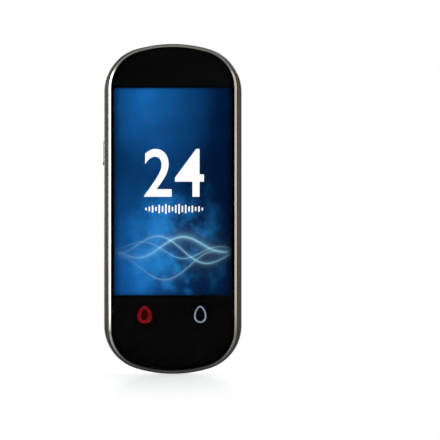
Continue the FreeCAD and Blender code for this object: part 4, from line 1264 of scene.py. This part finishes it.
@dataclass
class ScreenFace:
    """The lit screen, its digits and the level bars under the glass. Sizes in mm."""

    panel_low: Point = (-25.1, -5.32, 29.9)
    panel_high: Point = (25.1, -4.27, 120.6)
    panel_corner: float = 0.6
    panel_edge: float = 0.03
    picture_inset: float = 0.4
    picture_front: float = -5.42
    glyph_front: float = -5.475
    glyph_back: float = -5.43
    mask_front: float = -5.495
    mask_back: float = -5.425
    mask_inset: tuple[float, float] = (3.10, 1.57)
    tool_front: float = -6.0
    tool_back: float = -5.0
    window_low: tuple[float, float] = (-24.5, 32.9)
    window_high: tuple[float, float] = (24.5, 119.4)
    window_corner: float = 0.8
    # Each icon as centre X, centre Z, half width, half height and stroke
    red_icon: tuple[float, ...] = (-11.75, 24.8, 2.90, 3.60, 1.25)
    white_icon: tuple[float, ...] = (11.45, 24.9, 2.45, 3.50, 0.52)
    icon_play: float = 0.015
    icon_taper: float = 0.24
    icon_steps: int = 64
    digits: str = "24"
    digits_low: float = 74.0
    digits_high: float = 94.0
    # The text's weight, letter spacing and thickness, as shares of its size
    digit_weight: float = 0.01
    digit_spacing: float = 1.06
    digit_depth: float = 0.02
    glyphs_left: float = -11.9
    glyphs_right: float = 13.0
    bars_middle: float = 68.9
    bar_levels: tuple[float, ...] = (1.2, 2.0, 3.0, 1.8, 3.6, 2.6, 4.2, 3.0, 2.0, 3.4, 4.2, 2.8,
                                     3.6, 2.2, 3.0, 1.8, 2.4, 1.2)
    bar_share: float = 0.46
    bar_round: float = 0.85

    def build(self) -> None:
        """Build the screen, the printed mask and what they show."""
        self.panel()
        self.number()
        self.bars()
        self.mask()
        self.icon("red_touch_ring", self.red_icon, RED_LIGHT, "icon_red", "red_touch_icon")
        self.icon("white_touch_ring", self.white_icon, WHITE_LIGHT, "icon_white",
                  "white_touch_icon")

    def egg(self, sizes: Sequence[float], inset: float, depth: float) -> list[Point]:
        """The rounded drop outline of an icon.

        Args:
            sizes: The icon's centre, half sizes and stroke, in mm.
            inset: How far inside its outer edge the outline runs.
            depth: The Y of its points.

        Returns:
            The points, in metres.
        """
        x, z, wide, tall, _ = sizes
        points = []
        for step in range(self.icon_steps):
            turn = 2 * math.pi * step / self.icon_steps
            narrow = 1 - self.icon_taper * math.cos(turn)
            points.append(metres((x + (wide - inset) * math.sin(turn) * narrow, depth,
                                  z + (tall - inset) * math.cos(turn))))
        return points

    def egg_ring(self, name: str, sizes: Sequence[float], play: float, low: float,
                 high: float) -> Object:
        """A flat ring between two drop outlines.

        Args:
            name: The new object's name.
            sizes: The icon's sizes.
            play: How far both edges lie inside the stroke.
            low: Its lower Y, in mm.
            high: Its upper Y.

        Returns:
            The new object.
        """
        stroke = sizes[4]
        return sweep(name, [self.egg(sizes, play, low), self.egg(sizes, play, high),
                            self.egg(sizes, stroke - play, high),
                            self.egg(sizes, stroke - play, low)], looped=True)

    def mask(self) -> Object:
        """The black print behind the glass, open at the screen and the icons."""
        outline = Outline().inset(*self.mask_inset)
        obj = sweep("mask_print", [outline.ring(self.mask_front), outline.ring(self.mask_back)])
        left, foot = self.window_low
        right, head = self.window_high
        carve(obj, rounded_block("window_tool", (left, self.tool_front, foot),
                                 (right, self.tool_back, head), 1, self.window_corner, 4))
        for sizes in (self.red_icon, self.white_icon):
            carve(obj, self.egg_ring("icon_tool", sizes, 0.0, self.tool_front, self.tool_back))
        INK.dress(obj, "mask_black")
        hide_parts("glass_mask")
        return report(obj, Body.CASE)

    def icon(self, name: str, sizes: Sequence[float], finish: Finish, slot: str,
             node: str) -> Object:
        """One lit icon in its opening of the print.

        Args:
            name: The piece's name.
            sizes: The icon's sizes.
            finish: Its finish.
            slot: Its material slot.
            node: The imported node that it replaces.

        Returns:
            The piece.
        """
        obj = self.egg_ring(name, sizes, self.icon_play, self.mask_front, self.mask_back)
        finish.dress(obj, slot)
        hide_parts(node)
        return report(obj, Body.CASE)

    def panel(self) -> Object:
        """The screen module with its lit front."""
        back = rounded_block("screen_picture", self.panel_low, self.panel_high, 1,
                             self.panel_corner, 3)
        take(back)
        bpy.ops.object.mode_set(mode="EDIT")
        bpy.ops.mesh.select_all(action="DESELECT")
        bpy.ops.mesh.select_mode(type="FACE")
        mesh = bmesh.from_edit_mesh(back.data)
        for face in mesh.faces:
            face.select_set(face.normal.y < -0.9)
        bmesh.update_edit_mesh(back.data)
        bpy.ops.mesh.inset(thickness=self.picture_inset * MM)
        rise = (self.picture_front - self.panel_low[1]) * MM
        bpy.ops.mesh.extrude_region_move(TRANSFORM_OT_translate={"value": (0.0, rise, 0.0)})
        bpy.ops.mesh.select_mode(type="VERT")
        bpy.ops.object.mode_set(mode="OBJECT")
        soften(back, self.panel_edge, 1)
        smooth(back)
        Wallpaper().dress(back, "display")
        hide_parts("display_panel", "touch_sensor")
        return report(back, Body.CASE)

    def number(self) -> Object:
        """The large plain number on the screen."""
        release()
        bpy.ops.object.text_add()
        text = bpy.context.active_object
        text.data.body = self.digits
        text.data.size = 1.0
        text.data.offset = self.digit_weight
        text.data.resolution_u = 8
        text.data.space_character = self.digit_spacing
        text.data.extrude = self.digit_depth
        take(text)
        bpy.ops.object.convert(target="MESH")
        text = bpy.context.active_object
        spans = [[v.co[axis] for v in text.data.vertices] for axis in range(3)]
        lows = [min(span) for span in spans]
        sizes = [max(span) - min(span) for span in spans]
        wide = (self.glyphs_right - self.glyphs_left) * MM / sizes[0]
        tall = (self.digits_high - self.digits_low) * MM / sizes[1]
        thick = (self.glyph_back - self.glyph_front) * MM / sizes[2]
        for vertex in text.data.vertices:
            x, z, y = (c - low for c, low in zip(vertex.co, lows))
            vertex.co = (self.glyphs_left * MM + x * wide, self.glyph_back * MM - y * thick,
                         self.digits_low * MM + z * tall)
        settle(text, "screen_digits")
        turn_outward(text, 1e-8)
        GLYPH_LIGHT.dress(text, "icon_white")
        return report(text, Body.CASE)

    def bars(self) -> Object:
        """The row of level bars under the number."""
        pitch = (self.glyphs_right - self.glyphs_left) / len(self.bar_levels)
        half = pitch * self.bar_share / 2
        made = []
        for index, level in enumerate(self.bar_levels):
            middle = self.glyphs_left + pitch * (index + 0.5)
            made.append(rounded_block(
                "bar", (middle - half, self.glyph_front, self.bars_middle - level / 2),
                (middle + half, self.glyph_back, self.bars_middle + level / 2),
                1, half * self.bar_round, 3))
        row = joined(made, "screen_level_bars")
        GLYPH_LIGHT.dress(row, "icon_white")
        return report(row, Body.CASE)


@dataclass
class Casing:
    """The frame, the polished ring and the formed back cover. Sizes in mm."""

    body: Outline = Outline()
    cover: Outline = Outline(corner_share=0.86)
    # Sections as inset at the sides, inset at the ends, and depth
    frame_outer: tuple[Point, ...] = (
        (1.96, 0.58, -6.18), (1.52, 0.30, -6.20), (1.10, 0.17, -6.02), (0.62, 0.08, -5.62),
        (0.25, 0.03, -5.10), (0.07, 0.01, -4.50), (0.0, 0.0, -3.80))
    frame_inner: tuple[Point, ...] = (
        (0.0, 0.0, -1.0), (0.0, 0.0, 2.02), (0.03, 0.03, 2.13), (0.10, 0.10, 2.17),
        (2.7, 2.4, 2.17), (2.7, 2.4, -5.2), (1.96, 0.58, -5.3))
    ring_outer: tuple[Point, ...] = (
        (1.96, 0.58, -6.10), (1.98, 0.60, -6.17), (2.06, 0.66, -6.21), (2.30, 0.87, -6.275),
        (2.58, 1.10, -6.345), (2.82, 1.31, -6.405), (2.94, 1.41, -6.41), (3.00, 1.46, -6.34))
    ring_inner: tuple[Point, ...] = ((3.00, 1.46, -5.34), (1.96, 0.58, -5.34))
    cover_run: tuple[Point, ...] = (
        (0.0, 0.0, 2.62), (0.10, 0.09, 3.05), (0.48, 0.40, 3.62), (1.22, 0.90, 4.20),
        (2.40, 1.60, 4.70), (3.80, 2.45, 5.00), (5.20, 3.20, 5.16), (6.40, 3.80, 5.20),
        (7.35, 4.30, 5.10), (8.15, 4.78, 4.87), (8.80, 5.22, 4.80), (9.42, 5.68, 4.93),
        (10.10, 6.28, 5.38), (10.90, 7.05, 5.95), (11.85, 7.95, 6.30), (13.00, 9.05, 6.46),
        (14.20, 10.2, 6.50))
    cover_inside: tuple[Point, ...] = (
        (12.4, 8.4, 5.2), (11.9, 7.9, 5.2), (11.4, 7.5, 4.3), (9.6, 5.9, 3.6), (4.0, 3.0, 3.5),
        (2.8, 2.5, 3.2), (2.7, 2.4, 2.23))
    cover_rim: tuple[Point, ...] = ((0.10, 0.10, 2.23), (0.03, 0.03, 2.27), (0.0, 0.0, 2.38))
    cover_flat: tuple[Point, ...] = ((14.6, 10.6, 6.50),)
    cover_edge: float = 0.10
    # Each round hole of the cover as its axis, radius and lower Y
    holes: tuple[tuple[Point, float, float], ...] = (
        (LENS_AXIS, 4.26, 5.6), (LENS_AXIS, 3.3, 4.0), (FLASH_AXIS, 0.83, 4.0))
    hole_top: float = 8.0
    slot_width: float = 1.85
    slot_corner: float = 0.4
    slot_run: tuple[float, float] = (4.0, 7.5)
    # Each row of slots as its distance from the lens, length, pitch in degrees and count
    rows: tuple[tuple[float, float, float, int], ...] = (
        (11.9, 2.2, 12.1, 5), (15.1, 3.0, 9.2, 7))
    # The openings of the frame as two corners, and the radius of their edges
    key_low: Point = (-30.0, -2.15, 87.05)
    key_high: Point = (-25.0, 0.15, 97.55)
    key_corner: float = 0.5
    socket_low: Point = (-4.6, -2.43, -2.0)
    socket_high: Point = (4.6, 0.99, 4.0)
    socket_corner: float = 1.6758
    ports: tuple[Point, ...] = ((10.0, 0.18, 0.0), (10.0, 0.18, 138.0))
    port_radius: float = 0.3
    port_length: float = 8.0
    port_steps: int = 24

    def build(self) -> None:
        """Build the three shells of the case."""
        self.middle_frame()
        self.ring()
        self.back_cover()

    def rings(self, outline: Outline, sections: Sequence[Point]) -> list[list[Point]]:
        """One ring of points for each section of an outline."""
        return [outline.inset(side, end).ring(depth) for side, end, depth in sections]

    def middle_frame(self) -> Object:
        """The dark frame round the sides, open for the key, the socket and the ports."""
        run = [*blended(self.frame_outer, 3), *self.frame_inner]
        obj = sweep("middle_frame_shell", self.rings(self.body, run), looped=True)
        carve(obj, rounded_block("key_opening", self.key_low, self.key_high, 0,
                                 self.key_corner))
        carve(obj, rounded_block("socket_opening", self.socket_low, self.socket_high, 2,
                                 self.socket_corner, 10))
        for port in self.ports:
            carve(obj, rod("port_rod", port, self.port_radius, self.port_length, "z",
                           self.port_steps))
        smooth(obj)
        FRAME_DARK.dress(obj, "frame_dark")
        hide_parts("mid_frame")
        return report(obj, Body.CASE)

    def ring(self) -> Object:
        """The polished ring between the frame and the glass."""
        run = [*blended(self.ring_outer, 3), *self.ring_inner]
        obj = sweep("polished_ring", self.rings(self.body, run), looped=True)
        smooth(obj, weighted=False)
        POLISHED.dress(obj, "ring_polished")
        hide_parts("bezel_ring")
        return report(obj, Body.CASE)

    def slots(self) -> Object:
        """The tool that cuts the fanned speaker slots."""
        made = []
        middle = Vector(LENS_AXIS) * MM
        half = self.slot_width / 2
        low, high = self.slot_run
        for radius, length, pitch, count in self.rows:
            foot = LENS_AXIS[2] - radius - length / 2
            head = LENS_AXIS[2] - radius + length / 2
            first = rounded_block("slot", (-half, low, foot), (half, high, head), 1,
                                  self.slot_corner)
            for index in range(count):
                twin = copy_of(first, f"slot_{len(made)}")
                angle = math.radians(pitch * (index - (count - 1) / 2))
                for vertex in twin.data.vertices:
                    reach = vertex.co - middle
                    vertex.co.x = middle.x + reach.x * math.cos(angle) - reach.z * math.sin(angle)
                    vertex.co.z = middle.z + reach.x * math.sin(angle) + reach.z * math.cos(angle)
                made.append(twin)
            bpy.data.objects.remove(first)
        return joined(made, "slot_tool")

    def back_cover(self) -> Object:
        """The formed back cover with its lens seat, flash hole and slots."""
        run = [*self.cover_inside, *self.cover_rim, *blended(self.cover_run, 3),
               *self.cover_flat]
        obj = sweep("formed_back_cover", self.rings(self.cover, run))
        carve(obj, self.slots())
        for (x, _, z), radius, low in self.holes:
            centre = (x, (low + self.hole_top) / 2, z)
            carve(obj, rod("hole_tool", centre, radius, self.hole_top - low))
        soften(obj, self.cover_edge, 2, 50.0)
        smooth(obj)
        GUNMETAL.dress(obj, "cover_gunmetal")
        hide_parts("back_cover")
        return report(obj, Body.CASE)


@dataclass
class CameraEye:
    """The camera's trim, window and optics, and the lamp beside it. Sizes in mm."""

    # Each outline as radius and Y
    trim_run: Profile = (
        (3.56, 5.60), (4.18, 5.60), (4.20, 5.66), (4.20, 6.46), (4.17, 6.56), (4.10, 6.62),
        (4.00, 6.65), (3.90, 6.64), (3.80, 6.60), (3.62, 6.50), (3.56, 6.44))
    window_run: Profile = (
        (0.0, 6.47), (0.8, 6.465), (1.6, 6.45), (2.4, 6.425), (3.1, 6.39), (3.4, 6.36),
        (3.5, 6.28), (3.5, 5.62), (3.4, 5.60), (0.0, 5.60))
    optic_run: Profile = (
        (0.0, 5.565), (0.7, 5.56), (1.4, 5.535), (1.9, 5.50), (2.2, 5.46), (2.32, 5.40),
        (2.40, 5.40), (2.46, 5.50), (2.62, 5.54), (2.78, 5.50), (2.84, 5.40), (3.20, 5.46),
        (3.25, 5.42), (3.25, 5.24), (0.0, 5.24))
    lamp_run: Profile = (
        (0.0, 6.44), (0.16, 6.44), (0.20, 6.47), (0.30, 6.47), (0.34, 6.44), (0.44, 6.44),
        (0.50, 6.48), (0.70, 6.50), (0.75, 6.46), (0.75, 0.40), (0.0, 0.40))
    crease: float = 40.0

    def build(self) -> None:
        """Build the camera's visible pieces."""
        self.trim()
        self.window()
        self.optic()
        self.inner_lens()
        self.lamp()

    def trim(self) -> Object:
        """The bright ring round the window."""
        obj = turned("lens_trim", LENS_AXIS, self.trim_run)
        smooth(obj, self.crease, False)
        LENS_TRIM.dress(obj, "ring_polished")
        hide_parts("camera_ring")
        return report(obj, Body.CASE)

    def window(self) -> Object:
        """The slightly domed window over the optics."""
        obj = turned("lens_window", LENS_AXIS, self.window_run)
        smooth(obj, self.crease, False)
        CAMERA_GLASS.dress(obj, "camera_glass")
        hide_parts("camera_window")
        return report(obj, Body.CASE)

    def optic(self) -> Object:
        """The coated optic behind the window, with its stepped bezel."""
        obj = turned("lens_optic", LENS_AXIS, self.optic_run)
        smooth(obj, self.crease, False)
        OPTIC_COATING.dress(obj, "camera_glass")
        return report(obj, Body.CASE)

    def inner_lens(self) -> None:
        """The coated lens that moves with the focus barrel."""
        BARREL_COATING.dress(frame["nodes"]["camera_lens"])

    def lamp(self) -> Object:
        """The small round window of the lamp, with a rim and rings."""
        obj = turned("lamp_window", FLASH_AXIS, self.lamp_run)
        smooth(obj, self.crease, False)
        LAMP_LENS.dress(obj, "diffuser")
        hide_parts("flash_window")
        return report(obj, Body.CASE)


@dataclass
class SideKey:
    """The side key's cap, with its nib, flange and plunger. Sizes in mm."""

    outer: float = -29.10
    nib_outer: float = -29.35
    flange: tuple[float, float] = (-25.90, -25.30)
    flange_corner: float = 0.4
    depth: tuple[float, float] = (-2.0, 0.0)
    up: tuple[float, float] = (88.2, 97.4)
    # The edge radius of the cap and of the nib, and their softer outer rounding
    corners: tuple[float, float] = (0.42, 0.3)
    edges: tuple[float, float] = (0.28, 0.18)
    edge_angle: float = 60.0
    nib_low: float = 87.2
    nib_gap: float = 0.03
    nib_step: float = 0.25
    nib_lap: float = 0.3
    plunger_outer: float = -25.30
    plunger_depth: tuple[float, float] = (-1.5, -0.5)
    plunger_half: float = 1.0
    plunger_corner: float = 0.2
    travel: float = 0.30
    least_share: float = 0.1

    def build(self) -> None:
        """Build the key and the snap dome that it presses."""
        self.cap()
        self.dome()

    def dome(self) -> Object:
        """The snap dome that the key presses."""
        obj = copy_of(frame["nodes"]["key_dome"], "snap_dome")
        turn_outward(obj, 1e-7)
        BARE_STEEL.dress(obj)
        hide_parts("key_dome")
        report(obj, Body.CASE)
        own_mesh(obj)
        return obj

    def cap(self) -> Object:
        """The key in one piece, which rides on its own body."""
        low, high = ([value / MM for value in corner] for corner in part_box("side_key"))
        inner = self.flange[0]
        front, back = self.depth
        foot, head = self.up
        cap = rounded_block("key_cap", (self.outer, front, foot), (inner, back, head), 0,
                            self.corners[0], 6)
        soften(cap, self.edges[0], 4, self.edge_angle)
        nib = rounded_block(
            "key_nib", (self.nib_outer, front + self.nib_step, self.nib_low + self.nib_gap),
            (inner, back - self.nib_step, foot + self.nib_lap), 0, self.corners[1])
        soften(nib, self.edges[1], 3, self.edge_angle)
        flange = rounded_block("key_flange", (inner, *low[1:]), (self.flange[1], *high[1:]), 0,
                               self.flange_corner, 4)
        middle = (head + self.nib_low) / 2
        plunger = rounded_block(
            "key_plunger",
            (self.plunger_outer, self.plunger_depth[0], middle - self.plunger_half),
            (high[0], self.plunger_depth[1], middle + self.plunger_half), 0,
            self.plunger_corner, 3)
        key = joined([cap, nib, flange, plunger], "side_key_cap")
        smooth(key)
        KEY_METAL.dress(key, "key_metal")
        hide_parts("side_key")
        return report(key, Body.KEY)


@dataclass(frozen=True)
class Softbox:
    """One soft light. Lengths in metres."""

    name: str
    place: Point
    size: tuple[float, float]
    watts: float
    colour: Colour = (1.0, 1.0, 1.0)
    target: Point = (0.0, 0.0, 0.07)
    mirrored: bool = True

    def hang(self) -> None:
        """Put the light in the scene, pointed at its target."""
        data = bpy.data.lights.new(self.name, "AREA")
        data.shape = "RECTANGLE"
        data.size, data.size_y = self.size
        data.energy = self.watts
        data.color = self.colour
        lamp = bpy.data.objects.new(self.name, data)
        lamp.location = self.place
        lamp.rotation_mode = "QUATERNION"
        away = Vector(self.target) - Vector(self.place)
        lamp.rotation_quaternion = away.to_track_quat("-Z", "Y")
        lamp.visible_glossy = self.mirrored
        bpy.context.scene.collection.objects.link(lamp)


@dataclass
class Studio:
    """The pale floor, the soft lights and the camera."""

    floor_size: float = 9.0
    picture_width: float = 184.4 * MM
    distance: float = 1.5
    aim: Point = metres((19.7, 0.0, 64.3))
    sensor: float = 36.0
    ambient: float = 0.62
    lamps: tuple[Softbox, ...] = (
        Softbox("left_strip", (-0.42, -0.72, 0.12), (0.20, 0.42), 4.0),
        Softbox("right_strip", (0.42, -0.72, 0.09), (0.20, 0.50), 0.70, (1.0, 0.93, 0.78)),
        Softbox("right_panel", (0.62, -0.30, 0.12), (0.26, 0.50), 1.3, (1.0, 0.96, 0.88)),
        Softbox("left_panel", (-0.66, -0.05, 0.14), (0.24, 0.40), 1.3),
        Softbox("top_bank", (0.10, 0.34, 0.52), (0.5, 0.22), 6.0, (0.90, 0.95, 1.0),
                (0.0, 0.0, 0.13)),
        Softbox("rear_bank", (0.42, 0.26, 0.40), (0.16, 0.16), 1.2, (0.90, 0.95, 1.0),
                (0.0, 0.0, 0.11)),
        Softbox("front_fill", (0.5, -1.0, 0.9), (0.6, 0.6), 5.0, mirrored=False),
        Softbox("back_fill", (-0.5, 0.7, 0.3), (0.12, 0.5), 1.5))

    def build(self) -> None:
        """Build the whole studio."""
        self.floor()
        self.world()
        for lamp in self.lamps:
            lamp.hang()
        self.camera()

    def floor(self) -> Object:
        """The pale floor that the part stands on."""
        release()
        bpy.ops.mesh.primitive_plane_add(size=self.floor_size)
        obj = settle(bpy.context.active_object, "studio_floor")
        StageFinish().dress(obj)
        return obj

    def world(self) -> None:
        """The pale surroundings."""
        world = bpy.data.worlds.new("studio_surroundings")
        bpy.context.scene.world = world
        world.use_nodes = True
        sheet = Layout(world.node_tree)
        plain = world.node_tree.nodes["Background"]
        plain.inputs["Color"].default_value = (0.94, 0.97, 1.0, 1.0)
        plain.inputs["Strength"].default_value = self.ambient
        white = sheet.node("Background")
        white.inputs["Color"].default_value = (1.0, 1.0, 1.0, 1.0)
        white.inputs["Strength"].default_value = 1.0
        sheet.feed(world.node_tree.nodes["World Output"].inputs["Surface"],
                   sheet.both(pale_rays(sheet), plain.outputs[0], white.outputs[0]))

    def camera(self) -> None:
        """The camera at the photograph's angle: level and square to the screen."""
        data = bpy.data.cameras.new("photo_camera")
        data.sensor_width = self.sensor
        data.lens = self.sensor * self.distance / self.picture_width
        data.clip_start, data.clip_end = 0.01, 30.0
        obj = bpy.data.objects.new("photo_camera", data)
        obj.location = (self.aim[0], self.aim[1] - self.distance, self.aim[2])
        obj.rotation_euler = (math.pi / 2, 0.0, 0.0)
        bpy.context.scene.collection.objects.link(obj)
        bpy.context.scene.camera = obj


def main() -> None:
    """Build the studio and every piece in order."""
    scene = bpy.context.scene
    scene.view_settings.view_transform = "Standard"
    Studio().build()
    InnerParts().build()
    Casing().build()
    ScreenFace().build()
    CameraEye().build()
    SideKey().build()
    release()


if __name__ == "__main__":
    main()
